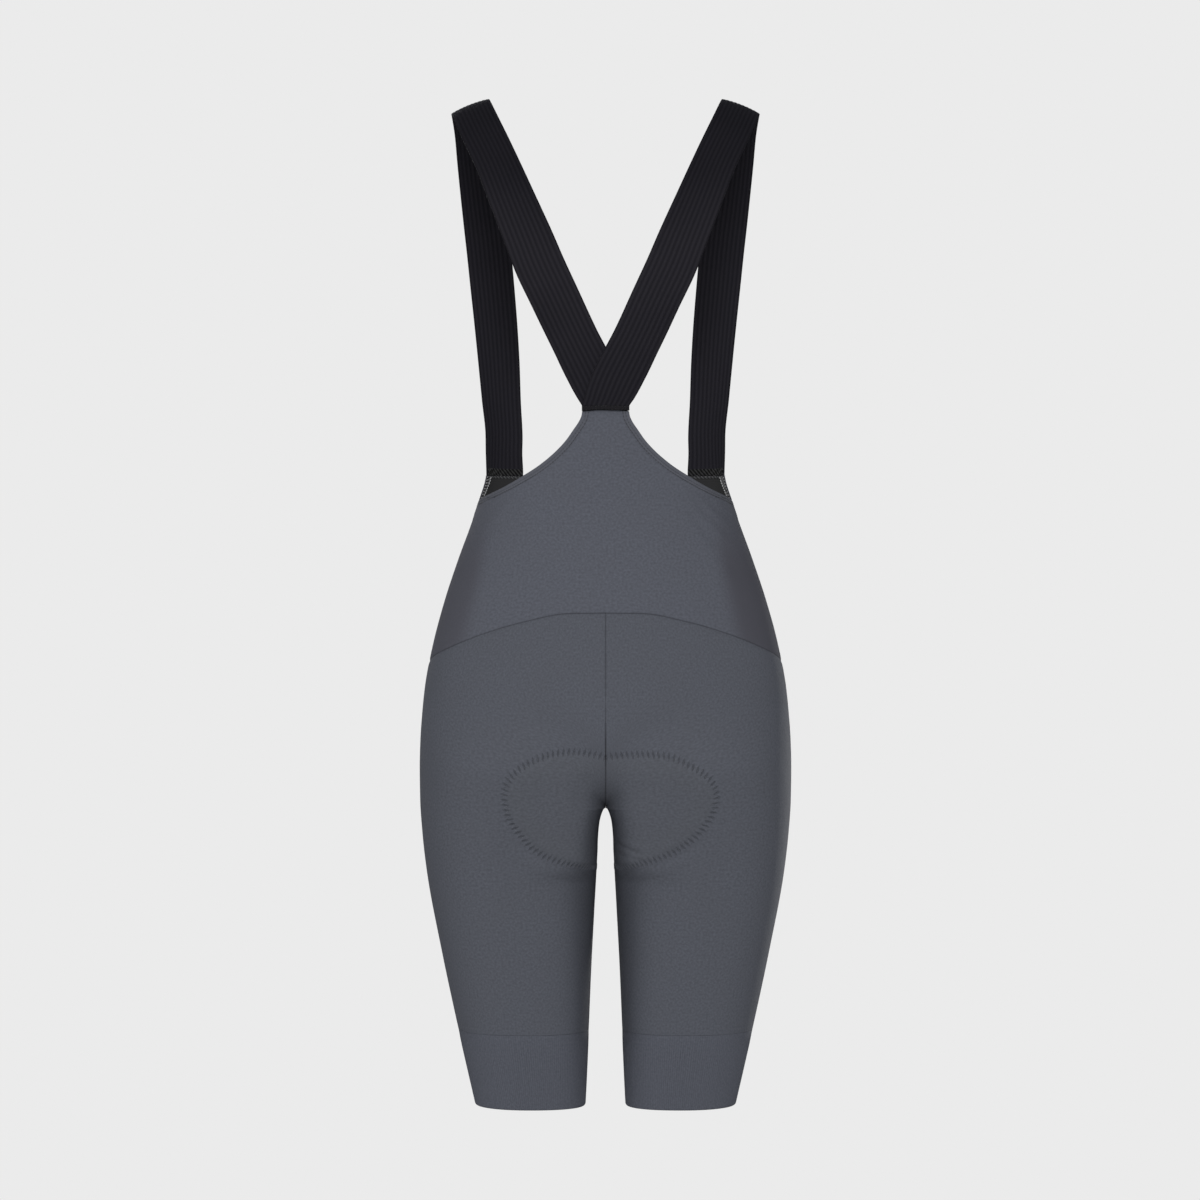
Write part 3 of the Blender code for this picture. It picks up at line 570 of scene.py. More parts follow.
def closed_wall(name, cells, corners, base, relief, thickness, material, mirror=False, keep=None, values=None):
    """A wall as wall() makes it, from cells that need not be a grid, and their corners' places on the flat cloth.

    keep corrects a sheet of points after it is moved, so that it stays on its own side of a seam. A mirrored wall
    is made on the left side first.
    """
    count = len(base)
    normals = point_normals(base, cells)
    outer = base + normals * relief[:, None]
    inner = base - normals * np.broadcast_to(thickness, (count,))[:, None]
    if keep is not None:
        outer, inner = keep(outer), keep(inner)
    a, b = open_edges(cells)
    rims = np.stack((b, a, a + count, b + count), axis=1)
    flat = np.zeros((count, 2))
    flat[cells] = corners
    rim_corners = np.stack((flat[b], flat[a], flat[a], flat[b]), axis=1)
    faces = np.vstack((cells, cells[:, ::-1] + count, rims))
    uv = np.concatenate((corners, corners[:, ::-1], rim_corners))
    points = np.vstack((outer, inner))
    if mirror:
        points, faces, uv = mirrored(points), faces[:, ::-1], uv[:, ::-1]
    named = {key: np.r_[value, value] for key, value in (values or {}).items()}
    named["inside"] = np.r_[np.zeros(count), np.ones(count)]
    return new_piece(name, points, faces, uv, material, named)


def mirrored(points):
    return np.asarray(points) * (-1, 1, 1)


def on_left(points):
    """Points of both sides, all moved to the left side."""
    return np.abs(points) * (1, 0, 0) + points * (0, 1, 1)


def on_side(side, *rows):
    """Rows of the left side's points or directions, moved to the side that is asked for."""
    return rows if side == "left" else [mirrored(row) for row in rows]


def nearest(points, path):
    """Distance from each point to a path, and how far along the path its nearest place lies."""
    along = path_length(path)
    best, place = np.full(len(points), np.inf), np.zeros(len(points))
    for a, b, start in zip(path[:-1], path[1:], along[:-1]):
        span = b - a
        size = float(span @ span)
        t = np.clip((points - a) @ span / size, 0, 1)
        gap = np.linalg.norm(points - a - t[:, None] * span, axis=1)
        closer = gap < best
        best[closer] = gap[closer]
        place[closer] = (start + t * math.sqrt(size))[closer]
    return best, place


def rounded_path(rows, spacing=0.0016):
    """Points in metres along a soft curve through the rows of a table in mm."""
    knots = np.array(rows, float) * MM
    at = np.r_[0, np.cumsum(np.linalg.norm(np.diff(knots, axis=0), axis=1) ** 0.5)]
    slopes = np.gradient(knots, at, axis=0)
    fine = np.linspace(0, at[-1], 40 * len(rows))
    i = np.clip(np.searchsorted(at, fine, side="right") - 1, 0, len(at) - 2)
    step = (at[i + 1] - at[i])[:, None]
    t = (fine[:, None] - at[i][:, None]) / step
    return evenly_spaced(hermite(t, knots[i], knots[i + 1], slopes[i] * step, slopes[i + 1] * step), spacing)


def evenly_spaced(points, spacing):
    return evenly(points, max(1, round(path_length(points)[-1] / spacing)))


def inside_outline(x, z, outline):
    """Which places lie inside a closed outline."""
    within = np.zeros(len(x), bool)
    for (x0, z0), (x1, z1) in zip(outline, np.roll(outline, -1, axis=0)):
        crosses = (z0 > z) != (z1 > z)
        with np.errstate(divide="ignore", invalid="ignore"):
            at = x0 + (z - z0) * (x1 - x0) / (z1 - z0)
        within ^= crosses & (x < at)
    return within


# Soft creases, in mm: start and end as across and height, how far the middle bows to the right, depth and width.
# A minus depth is a ridge.
LEG_FOLDS = {
    "left": (
        (98, -664, 50, -703, 10, 0.35, 5.0), (54, -697, 16, -708, 3, 0.45, 4.5),
        (12, -668, 30, -700, -3, 0.35, 6.0), (150, -640, 118, -648, 0, 0.25, 6.0),
        (15, -606, 24, -652, 5, 1.00, 8.0), (13, -720, 22, -790, 3, 0.25, 8.0),
    ),
    "right": (
        (96, -659, 50, -699, 10, 0.35, 5.0), (52, -696, 14, -707, 3, 0.50, 4.0),
        (9, -671, 36, -681, -1, 1.15, 2.4), (9, -679, 38, -687, -1, 0.85, 2.2),
        (66, -640, 84, -652, 3, 0.25, 6.0), (16, -612, 38, -646, 8, 0.30, 9.0),
        (13, -720, 24, -800, 3, 0.25, 8.0),
    ),
}
BIB_FOLDS = (
    (-86, -352, -122, -384, 2, 0.68, 3.2), (-76, -353, -121, -398, 3, 0.59, 3.6),
    (-70, -362, -118, -412, 4, 0.51, 4.2), (-88, -384, -124, -432, 3, 0.42, 5.0),
    (84, -352, 118, -380, -2, 0.48, 3.4), (74, -356, 116, -398, -3, 0.44, 4.2),
    (82, -378, 120, -422, -3, 0.34, 5.0), (-112, -400, -138, -470, -4, 0.51, 9.0),
    (112, -404, 138, -472, 4, 0.37, 9.0),
)


def fold_relief(x, z, folds):
    """How far soft creases sink a sheet, at places given across and up, with a low ridge beside each."""
    relief = np.zeros(len(x))
    for x0, z0, x1, z1, bow, depth, width in folds:
        start, end = np.array((x0, z0)) * MM, np.array((x1, z1)) * MM
        span = end - start
        length = np.linalg.norm(span)
        from_start = np.stack((x, z), axis=-1) - start
        t = from_start @ span / length**2
        off = from_start @ np.array((-span[1], span[0])) / length - bow * MM * 4 * t * (1 - t)
        taper = depth * MM * smooth_step(-0.12, 0.25, t) * (1 - smooth_step(0.7, 1.12, t))
        uneven = 1 + 0.25 * np.sin(9 * t + 3 * x0)
        relief -= taper * uneven * bell(off, width * MM)
        relief += 0.35 * taper * bell(off - 1.9 * width * MM, 1.3 * width * MM)
    return relief


# Leg panels


def pad_seam_path(side):
    """The zigzag seam round half of the seat pad, on the left leg's outer face, from behind round to the front."""
    behind, front = rounded_path(PAD_SEAMS[side]), rounded_path(PAD_SEAMS["front"])
    back_u = round_at(behind[:, 0], behind[:, 1])
    front_u = round_at(front[:, 0], front[:, 1], front=True) - 1
    rounds, heights = np.r_[back_u, 0.0, front_u], np.r_[behind[:, 1], PAD_TIP, front[:, 1]]
    points = surface(np.where(rounds < 0, rounds + 1, rounds), heights)
    points[:, 0] = np.maximum(points[:, 0], 0.0004)
    return evenly_spaced(points, PATH_SPACING)


def seam_length(seam):
    return path_length(seam)[-1]


def zigzag_turns(seam):
    return round(seam_length(seam) / ZIGZAG_PITCH)


def side_to_side(phase):
    """Where a zigzag lies across its seam, from -1 to 1, after so many turns."""
    return 4 * np.abs((phase - 0.25) % 1.0 - 0.5) - 1


def leg_columns():
    """How far round the leg's columns lie: close together at the centre seams and over the seat pad."""
    seam = np.array((0, 0.5, 1.1, 1.8, 2.7, 4.0)) * MM / LEG_GIRTH
    fine, over_pad_to = 0.00125 / LEG_GIRTH, 0.235
    over_pad = np.arange(seam[-1] + fine, over_pad_to, fine)
    rest = np.linspace(over_pad_to, 1 - seam[-1], 92)
    return np.concatenate((seam, over_pad, rest[:-1], 1 - seam[::-1]))


def leg_row_shares():
    """Shares of the height above and below the crotch at which the leg's rows lie."""
    at_waist, at_gripper = np.array((0, 3, 6.5, 10.5, 16, 24)) / 1000, np.array((16, 10, 5.5, 2.5, 0)) / 1000
    above = np.r_[1 - at_waist, np.linspace(0.975, 0.46, 26)[1:], np.linspace(0.46, 0, 52)[1:]]
    below = np.r_[np.linspace(0, 0.36, 44)[1:], np.linspace(0.36, 0.978, 38)[1:], 1 - at_gripper]
    return above, below


def leg_sheet():
    """Heights, points and point numbers of the left leg panel: open above the crotch, a closed tube below it."""
    rounds = leg_columns()
    above, below = leg_row_shares()
    near_centre = (1 + np.cos(TURN * rounds)) / 2
    power = 1 + ROW_CROWDING * near_centre**1.2
    top = waist_height(rounds) - SEAM_GAP / 2 - CROTCH_HEIGHT
    bottom = GRIPPER_HEIGHT + SEAM_GAP / 2 - CROTCH_HEIGHT
    heights = CROTCH_HEIGHT + np.vstack((top * above[:, None] ** power, bottom * below[:, None] ** power))
    points = surface(np.broadcast_to(rounds, heights.shape), heights)
    split = len(above) - 1
    points[: split + 1, (0, -1), 0] = 0.0
    ids = numbered(heights.shape)
    ids[split:, -1] = ids[split:, 0]
    return rounds, heights, points, ids, split


def compact(ids, *arrays):
    """Point numbers without gaps, and the arrays' rows for the points that are left."""
    used, numbers = np.unique(ids, return_inverse=True)
    return (numbers.reshape(ids.shape), *[a.reshape(-1, *a.shape[2:])[used] for a in arrays])


def closed_outline(rows):
    """A half outline's rows in metres, closed a little past the centre."""
    return np.array((*rows, (PAST_CENTRE, rows[-1][1]), (PAST_CENTRE, rows[0][1]))) * MM


def within_pad(side, x, y, z):
    """Which places on the outer face lie inside the pad's outline."""
    behind, before = [inside_outline(x, z, closed_outline(PAD_SEAMS[name])) for name in (side, "front")]
    return np.where(y > 0, behind, before)


def leg_panel(side, material):
    """One leg: sunk seams, the pad's raised form inside its zigzag seam, and soft creases behind."""
    rounds, heights, points, ids, split = leg_sheet()
    columns = np.broadcast_to(rounds, heights.shape)
    rows = np.broadcast_to(np.arange(len(heights))[:, None], heights.shape)
    cloth = np.stack((columns * LEG_GIRTH, heights), axis=-1)
    ids, base, around, row = compact(ids, points, columns, rows)
    x, y, z = base.T
    top_gap = waist_height(around) - z
    relief = -SEAM_DIP * bell(top_gap, SEAM_REACH)
    relief -= GRIPPER_DIP * bell(z - GRIPPER_HEIGHT, GRIPPER_DIP_REACH)
    centre = np.where(row <= split, np.minimum(around, 1 - around) * LEG_GIRTH, 1.0)
    seen = np.where(row <= split, np.minimum(centre, x), 1.0)
    strength = 0.42 + 0.58 * smooth_step(*SEAM_DEEPENS, z) - 0.25 * bell(z - SEAM_SHALLOWEST, 0.012)
    relief -= SEAM_DIP * strength * bell(centre, SEAM_REACH * 0.8) * smooth_step(*SEAM_FADES, z)
    seam = pad_seam_path(side)
    gap, place = nearest(base, seam)
    turns = zigzag_turns(seam) * place / seam_length(seam)
    signed = np.where(within_pad(side, x, y, z), gap, -gap)
    behind = smooth_step(-0.010, 0.030, y)
    thigh_gap = np.interp(-z, -RING_HEIGHTS[::-1], [half_gap(h) for h in RING_HEIGHTS[::-1]])
    shown = np.maximum(smooth_step(0.002, 0.016, x - thigh_gap), smooth_step(*PAD_SHOWS, z))
    relief += PAD_LIFT * smooth_step(*PAD_RISES, signed) * shown
    relief -= PAD_SEAM_DIP * bell(gap, PAD_SEAM_REACH) * shown
    wave = np.cos(TURN * turns + 0.5 * np.sin(place / 0.019))
    relief += PAD_SEAM_WAVE * wave * bell(signed, PAD_WAVE_REACH) * shown
    relief -= PAD_LOW_DIP * smooth_step(*PAD_LOW, -z) * behind * shown * bell(signed + PAD_LOW_OFF, PAD_LOW_REACH)
    relief += fold_relief(x, z, LEG_FOLDS[side]) * behind
    values = {
        "pad_area": smooth_step(-0.001, 0.003, signed) * (1 - 0.6 * smooth_step(0.010, 0.034, signed)),
        "seam_off": signed,
        "seam_turns": turns,
        # painted shadow along the waist seam and the centre seam
        "seam_line": np.maximum(0.45 * bell(top_gap, SEAM_SHADOW_WIDTH), strength * 0.85 * bell(seen, SEAM_SHADOW_WIDTH)),
    }

    def keep(sheet):
        return np.column_stack((np.maximum(sheet[:, 0], SEAM_GAP / 2), sheet[:, 1:]))

    thickness = np.maximum(KNIT_WALL, KNIT_LEAST - relief)
    more = {"mirror": side == "right", "keep": keep, "values": values}
    return wall(f"leg_cloth_{side}", ids, base, relief, cloth, thickness, material, **more)


def rim_rounding(distance):
    """How far the outer face sinks beside a cut or turned edge, so that the edge is soft."""
    return -RIM_DROP * bell(distance, RIM_REACH)


# Ribbed work, stitches and seams that follow a path, made with Geometry Nodes


class Flow:
    """A value that flows through a node tree: arithmetic with it makes the nodes that work it out."""

    def __init__(self, socket):
        self.socket, self.tree = socket, socket.id_data

    def maths(self, operation, *others):
        return maths(self.tree, operation, self, *others)

    def __add__(self, other):
        return self.maths("ADD", other)

    def __sub__(self, other):
        return self.maths("SUBTRACT", other)

    def __rsub__(self, other):
        return maths(self.tree, "SUBTRACT", other, self)

    def __mul__(self, other):
        return self.maths("MULTIPLY", other)

    def __truediv__(self, other):
        return self.maths("DIVIDE", other)

    def __abs__(self):
        return self.maths("ABSOLUTE")

    __radd__, __rmul__ = __add__, __mul__


def join(value, socket):
    """Links a value to an input socket, or sets the socket to a number, a vector or a colour."""
    value = getattr(value, "socket", value)
    if isinstance(value, bpy.types.NodeSocket):
        socket.id_data.links.new(value, socket)
    else:
        socket.default_value = (*value, 1.0) if socket.type == "RGBA" and len(value) == 3 else value


def node(tree, kind, links=None, output=0, **settings):
    """A node's output, after its settings are made and its input sockets joined by name or number."""
    made = tree.nodes.new(kind)
    for key, value in settings.items():
        setattr(made, key, value)
    for key, value in (links or {}).items():
        join(value, made.inputs[key])
    return Flow(made.outputs[output]) if made.outputs else None


def maths(tree, operation, *values):
    return node(tree, "ShaderNodeMath", dict(enumerate(values)), operation=operation)


def bell_of(value):
    return (value * value * -1.0).maths("EXPONENT")


def new_tree(name, sizes, cloth):
    """A Geometry Nodes tree, what it is given (geometry, named sizes and a material), and its output."""
    tree = bpy.data.node_groups.new(name, "GeometryNodeTree")
    add = tree.interface.new_socket
    add("Geometry", in_out="OUTPUT", socket_type="NodeSocketGeometry")
    add("Geometry", in_out="INPUT", socket_type="NodeSocketGeometry")
    for label, value in sizes.items():
        add(label, in_out="INPUT", socket_type="NodeSocketFloat").default_value = value
    add(cloth, in_out="INPUT", socket_type="NodeSocketMaterial")
    given = {socket.name: Flow(socket) for socket in tree.nodes.new("NodeGroupInput").outputs}
    return tree, given, tree.nodes.new("NodeGroupOutput").inputs[0]


def finish_tree(tree, geometry, material, out):
    real = node(tree, "GeometryNodeRealizeInstances", {0: geometry})
    join(node(tree, "GeometryNodeSetMaterial", {"Geometry": real, "Material": material}), out)
    return tree


def point_value(tree, name, kind="FLOAT"):
    return node(tree, "GeometryNodeInputNamedAttribute", {"Name": name}, data_type=kind)


def thread_ring(tree, radius):
    return node(tree, "GeometryNodeCurvePrimitiveCircle", {"Resolution": 5, "Radius": radius}, mode="RADIUS")


def thread_along(tree, path, radius):
    """A closed round thread along a curve."""
    profile = thread_ring(tree, radius)
    return node(tree, "GeometryNodeCurveToMesh", {"Curve": path, "Profile Curve": profile, "Fill Caps": True})


def rib_tree():
    """Raises evenly spaced ribs out of a sheet whose points say how far across it they lie and how far they rise."""
    tree, given, out = new_tree("raised_ribs", {"Ribs": 10.0, "Rib height": 0.0003}, "Cloth")
    turns = point_value(tree, "across") * given["Ribs"] * TURN
    profile = (0.5 - turns.maths("COSINE") * 0.5).maths("POWER", RIB_ROUNDNESS)
    height = profile * point_value(tree, "ribbed") * given["Rib height"]
    normal = node(tree, "GeometryNodeInputNormal")
    offset = node(tree, "ShaderNodeVectorMath", {0: normal, "Scale": height}, operation="SCALE")
    raised = node(tree, "GeometryNodeSetPosition", {"Geometry": given["Geometry"], "Offset": offset})
    return finish_tree(tree, raised, given["Cloth"], out)


def stitch_tree():
    """Lays single stitches, bowed so that both ends dive into the cloth, at an even pitch along a path."""
    sizes = {"Pitch": STITCH_PITCH, "Stitch length": STITCH_LENGTH, "Thread radius": THREAD}
    tree, given, out = new_tree("stitch_row", sizes, "Thread")
    path = node(tree, "GeometryNodeMeshToCurve", {"Mesh": given["Geometry"]})
    spaced = node(tree, "GeometryNodeResampleCurve", {"Curve": path, "Length": given["Pitch"]}, mode="LENGTH")
    line = node(tree, "GeometryNodeCurvePrimitiveLine", {"Start": (-0.5, 0, 0), "End": (0.5, 0, 0)})
    line = node(tree, "GeometryNodeResampleCurve", {"Curve": line, "Count": 5}, mode="COUNT")
    x = node(tree, "ShaderNodeSeparateXYZ", {0: node(tree, "GeometryNodeInputPosition")})
    drop = x * x * STITCH_BOW * given["Thread radius"]
    bow = node(tree, "ShaderNodeCombineXYZ", {0: x * (given["Stitch length"] - 1.0), 2: drop})
    line = node(tree, "GeometryNodeSetPosition", {"Geometry": line, "Offset": bow})
    stitch = thread_along(tree, line, given["Thread radius"])
    ways = {0: point_value(tree, "lay", "FLOAT_VECTOR"), 1: node(tree, "GeometryNodeInputTangent")}
    turn = node(tree, "FunctionNodeAxesToRotation", ways, primary_axis="Z", secondary_axis="X")
    laid = node(tree, "GeometryNodeInstanceOnPoints", {"Points": spaced, "Instance": stitch, "Rotation": turn})
    return finish_tree(tree, laid, given["Thread"], out)


def thread_tree():
    """Runs one round thread along a path."""
    tree, given, out = new_tree("thread_run", {"Thread radius": THREAD}, "Thread")
    path = node(tree, "GeometryNodeMeshToCurve", {"Mesh": given["Geometry"]})
    return finish_tree(tree, thread_along(tree, path, given["Thread radius"]), given["Thread"], out)


def worked(piece, tree, **sizes):
    """The piece as a plain mesh after a tree has worked on it. Sizes are named as the tree's inputs are."""
    modifier = piece.modifiers.new(tree.name, "NODES")
    modifier.node_group = tree
    for socket in tree.interface.items_tree:
        label = socket.name.lower().replace(" ", "_")
        if socket.in_out == "INPUT" and label in sizes:
            modifier[socket.identifier] = sizes[label]
    bpy.context.view_layer.update()
    evaluated = piece.evaluated_get(bpy.context.evaluated_depsgraph_get())
    mesh = bpy.data.meshes.new_from_object(evaluated)
    piece.modifiers.remove(modifier)
    old, name = piece.data, piece.data.name
    piece.data = mesh
    bpy.data.meshes.remove(old)
    mesh.name = name
    mesh.shade_smooth()
    return piece


def thread_row(name, paths, tree, **sizes):
    """Threads along one or more paths, each given as its points and the directions in which the cloth faces there."""
    points, lays, edges = [], [], []
    for path, lay in paths:
        edges += [(len(points) + k, len(points) + k + 1) for k in range(len(path) - 1)]
        points += list(path)
        lays += list(lay)
    mesh = bpy.data.meshes.new(name)
    mesh.from_pydata([tuple(p) for p in points], edges, [])
    mesh.attributes.new("lay", "FLOAT_VECTOR", "POINT").data.foreach_set("vector", np.array(lays, np.float32).ravel())
    return worked(shown_piece(name, mesh), tree, **sizes)


def face_tree(piece):
    """A piece's faces, ready to be searched for the nearest one."""
    mesh = piece.data
    return BVHTree.FromPolygons([v.co for v in mesh.vertices], [tuple(f.vertices) for f in mesh.polygons])


def laid_on(faces, points):
    """Points moved onto the nearest of a piece's faces, and the ways those faces look."""
    found = [faces.find_nearest(point)[:2] for point in points]
    return np.array([spot for spot, _ in found]), np.array([normal for _, normal in found])


def unit(vectors):
    return vectors / np.linalg.norm(vectors, axis=-1)[..., None]


def directions(path):
    return unit(np.gradient(path, axis=0))


def softened(rows, times):
    """Rows whose inner ones are moved, so many times, half way to the mean of their neighbours."""
    for _ in range(times):
        rows[1:-1] = (rows[:-2] + 2 * rows[1:-1] + rows[2:]) / 4
    return rows


def sewn_strip(name, path, lay, width, thickness, material, loops=0.00012):
    """A narrow strip under overlock loops, centred on a path, with its face turned the way lay points."""
    across = unit(np.cross(lay, directions(path)))
    share = np.array((-1, -0.92, -0.75, -0.4, 0, 0.4, 0.75, 0.92, 1))
    points = path[:, None] + across[:, None] * (share[None, :, None] * width / 2)
    lengths, shares = np.broadcast_arrays(path_length(path)[:, None], share[None, :])
    edge = (1 - np.abs(shares)) * width / 2
    ripple = np.sin(TURN * (lengths / LOOP_PITCH + LOOP_SLANT * shares))
    relief = loops * ripple * smooth_step(0, 0.0006, edge) + rim_rounding(edge) * 0.6
    cloth = np.stack((shares * width / 2, lengths), axis=-1)
    base, ids = points.reshape(-1, 3), numbered(shares.shape)
    return wall(name, ids, base, relief.ravel(), cloth, thickness, material, flip=False)


def facing(u, z):
    """Unit vectors out of the garment's outer face."""
    du, dz = 0.004, 0.0012
    along = surface(np.minimum(u + du, 1), z) - surface(np.maximum(u - du, 0), z)
    return unit(np.cross(surface(u, z + dz) - surface(u, z - dz), along))


def seat_zigzag(side, panel, tree, material):
    """The thread that runs from side to side along the pad's outline, pressed into the cloth at each turn."""
    faces, seam = face_tree(panel), pad_seam_path(side)
    turns = zigzag_turns(seam)
    phase = np.arange(turns * ZIGZAG_POINTS + 1) / ZIGZAG_POINTS
    (path,) = on_side(side, read_along(seam, path_length(seam), phase / turns * seam_length(seam)))
    _, lay = laid_on(faces, path)
    inward = unit(np.cross(softened(lay, 8), directions(path))) * (1 if side == "left" else -1)
    swing = side_to_side(phase)
    path, lay = laid_on(faces, path + inward * (swing * ZIGZAG_WIDTH / 2)[:, None])
    lift = THREAD * (0.55 - 1.6 * np.abs(swing) ** 6)
    return thread_row(f"seat_zigzag_{side}", [(path + lay * lift[:, None], lay)], tree, thread=material)


# Leg grippers


def leg_gripper(side, tree, material):
    """The elastic band round one leg, finely ribbed from the panel down to the hem."""
    top, bottom = GRIPPER_HEIGHT - SEAM_GAP / 2, HEM_HEIGHT
    shares = np.r_[0, 0.006, 0.014, 0.026, np.linspace(0.05, 0.96, 12), 0.98, 0.990, 0.996, 1.0]
    u, z = np.meshgrid(np.linspace(0, 1, GRIPPER_RIBS * 5 + 1), top + (bottom - top) * shares)
    cloth = np.stack((u * GRIPPER_GIRTH, z), axis=-1)
    ids = numbered(u.shape)
    ids[:, -1] = ids[:, 0]
    ids, base, around, z = compact(ids, surface(u, z), u, z)
    relief = -GRIPPER_DIP * bell(z - top, GRIPPER_DIP_REACH) + rim_rounding(z - bottom)
    ribbed = smooth_step(0, 0.014, top - z) * smooth_step(0, 0.0012, z - bottom)
    more = {"mirror": side == "right", "values": {"across": around, "ribbed": ribbed}}
    band = wall(f"leg_gripper_band_{side}", ids, base, relief, cloth, GRIPPER_WALL, material, **more)
    only_outside(band, "ribbed")
    return worked(band, tree, ribs=float(GRIPPER_RIBS), rib_height=GRIPPER_RIB_HEIGHT, cloth=material)


def only_outside(piece, name):
    """Sets a named value to nought on the wall's inner face."""
    mesh = piece.data
    inside, value = np.zeros(len(mesh.vertices)), np.zeros(len(mesh.vertices))
    mesh.attributes["inside"].data.foreach_get("value", inside)
    mesh.attributes[name].data.foreach_get("value", value)
    mesh.attributes[name].data.foreach_set("value", (value * (1 - inside)).astype(np.float32))


# Bib


def armhole_path():
    """The left armhole edge of the back panel, from the point down to the side seam: its rounds and heights."""
    heights = np.linspace(APEX_HEIGHT, SIDE_TOP_HEIGHT, 160)
    return round_at(ARM_EDGE.read("half_width", heights), heights), heights


def armhole_row():
    """The same edge as far as it first meets the side seam, for what is sewn along it."""
    rounds, heights = armhole_path()
    last = int(np.argmax(rounds > 0.4995)) + 1
    return rounds[:last], heights[:last]


def tape_arch(x):
    """How far the band's lower edge, and the cloth under it, arches up over the back point."""
    share = np.clip(x / TAPE_HALF_WIDTH, -1, 1)
    return TAPE_ARCH * np.cos(share * math.pi / 2) + TAPE_UNEVEN * np.sin(share * 5)


def joined(first, second):
    """A grid of both halves of a panel, from the first's edge over the centre to the second's edge."""
    return np.concatenate((first, second[:, ::-1][:, 1:]), axis=1)


def bib_finish(base, around, hem_edge):
    """How far a bib panel's points lie from its hem, their relief at hem and seams, and their named values."""
    height = base[:, 2]
    hem_off, hem_place = nearest(on_left(base), hem_edge)
    above_waist = height - waist_height(around)
    from_side = np.abs(around - 0.5) * side_girth_step(SIDE_SEAM_MIDDLE)
    below = smooth_step(SIDE_TOP_HEIGHT + 0.002, SIDE_TOP_HEIGHT - 0.002, height)
    relief = HEM_BAND_RISE * (1 - smooth_step(HEM_BAND - 0.0005, HEM_BAND + 0.0005, hem_off)) + rim_rounding(hem_off)
    relief -= SEAM_DIP * (bell(above_waist, SEAM_REACH) + below * bell(from_side, SEAM_REACH))
    # painted shadow along the waist seam and the side seams
    side_seam_shadow = bell(np.where(below > 0.5, from_side, 1.0), SEAM_SHADOW_WIDTH)
    line = np.maximum(0.45 * bell(above_waist, SEAM_SHADOW_WIDTH), 0.6 * side_seam_shadow)
    return hem_off, relief, {"seam_line": line, "hem_off": hem_off, "hem_place": hem_place, "pad_area": hem_off * 0}


def back_rows():
    """Rounds and heights of the back panel's left half: rows run down, columns from its edge to the centre."""
    upper = np.r_[0, 0.0005, 0.0011, 0.0020, np.linspace(0.0034, APEX_HEIGHT - SIDE_TOP_HEIGHT, 52)]
    heights = APEX_HEIGHT - upper
    edge_u = round_at(ARM_EDGE.read("half_width", heights), heights)
    run = np.linalg.norm(np.gradient(surface(edge_u, heights)[:, :2], heights, axis=0), axis=1)
    stretch = np.clip(np.sqrt(1 + run**2), 1.0, MOST_STRETCH_BEHIND)
    near_waist = 1 - np.array((0.026, 0.018, 0.012, 0.0075, 0.0035, 0)) * 0.85
    shares = np.r_[np.linspace(0, 0.975, 38)[1:], near_waist]
    side_u = 0.5 - SEAM_GAP / 2 / side_girth_step(SIDE_TOP_HEIGHT)
    ends = np.r_[edge_u, np.full(len(shares), side_u)]
    stretch = np.r_[stretch, 1 + (stretch[-1] - 1) * (1 - smooth_step(0, 0.12, shares))]
    girths = side_girth_step(np.r_[heights, np.full(len(shares), SIDE_TOP_HEIGHT)])
    u = []
    for end, factor, girth in zip(ends, stretch, girths):
        offsets = np.array(HEM_COLUMNS) * MM * factor / girth
        offsets *= min(1.0, 0.8 * end / offsets[-1])
        u.append(np.r_[end - offsets, np.linspace(end - offsets[-1], 0, 61)[1:]])
    u = np.array(u)
    low = waist_height(u[len(heights) :]) + SEAM_GAP / 2
    below = SIDE_TOP_HEIGHT + (low - SIDE_TOP_HEIGHT) * shares[:, None]
    z = np.vstack((np.broadcast_to(heights[:, None], (len(heights), u.shape[1])), below))
    z = z + tape_arch(surface(u, z)[..., 0]) * (1 - smooth_step(0, 0.005, APEX_HEIGHT - z))
    return u, z, girths


def back_bib(material):
    """The back panel: turned armhole hems, soft creases under them, and sunk seams below and at the sides."""
    u, z, girths = back_rows()
    points = surface(u, z)
    points[:, -1, 0] = 0
    cloth = np.stack((u * girths[:, None], z), axis=-1)
    points, cloth = joined(mirrored(points), points), joined(cloth * (-1, 1), cloth)
    base, around = points.reshape(-1, 3), joined(u, u).ravel()
    ids = numbered(points.shape[:2])
    edge = evenly_spaced(surface(*armhole_path()), PATH_SPACING)
    edge = np.vstack((edge, edge[-1] + (edge[-1] - edge[-2]) * 12))
    hem_off, relief, values = bib_finish(base, around, edge)
    x, _, height = base.T
    relief += fold_relief(x, height, BIB_FOLDS) * smooth_step(HEM_BAND, HEM_BAND + 0.006, hem_off)
    # Painted shade: darker bands down the panel's sides, stronger on the right, for the light falling off where the
    # body turns away
    turn, strength = np.where(x > 0, 0.325, 0.300), np.where(x > 0, 0.8, 1.0)
    shade = smooth_step(turn - 0.035, turn + 0.030, around) * smooth_step(-0.352, -0.430, height)
    values["side_shade"] = shade * strength
    return wall("back_bib_cloth", ids, base, relief, cloth, KNIT_WALL, material, values=values)


def front_top(u):
    """Height of the front panel's upper edge: the armhole, the strap foot and the neckline."""
    foot = FOOT_HEIGHT - SEAM_GAP / 2
    t = (u - 0.5) / (FOOT_OUTER_ROUND - 0.5)
    s = np.clip((u - FOOT_INNER_ROUND) / (1 - FOOT_INNER_ROUND), 0, 1)
    neck = foot - NECK_DIP * np.sin(s * math.pi / 2) ** 1.3
    return np.where(u < FOOT_OUTER_ROUND, SIDE_TOP_HEIGHT * (1 - t) + foot * t, neck)


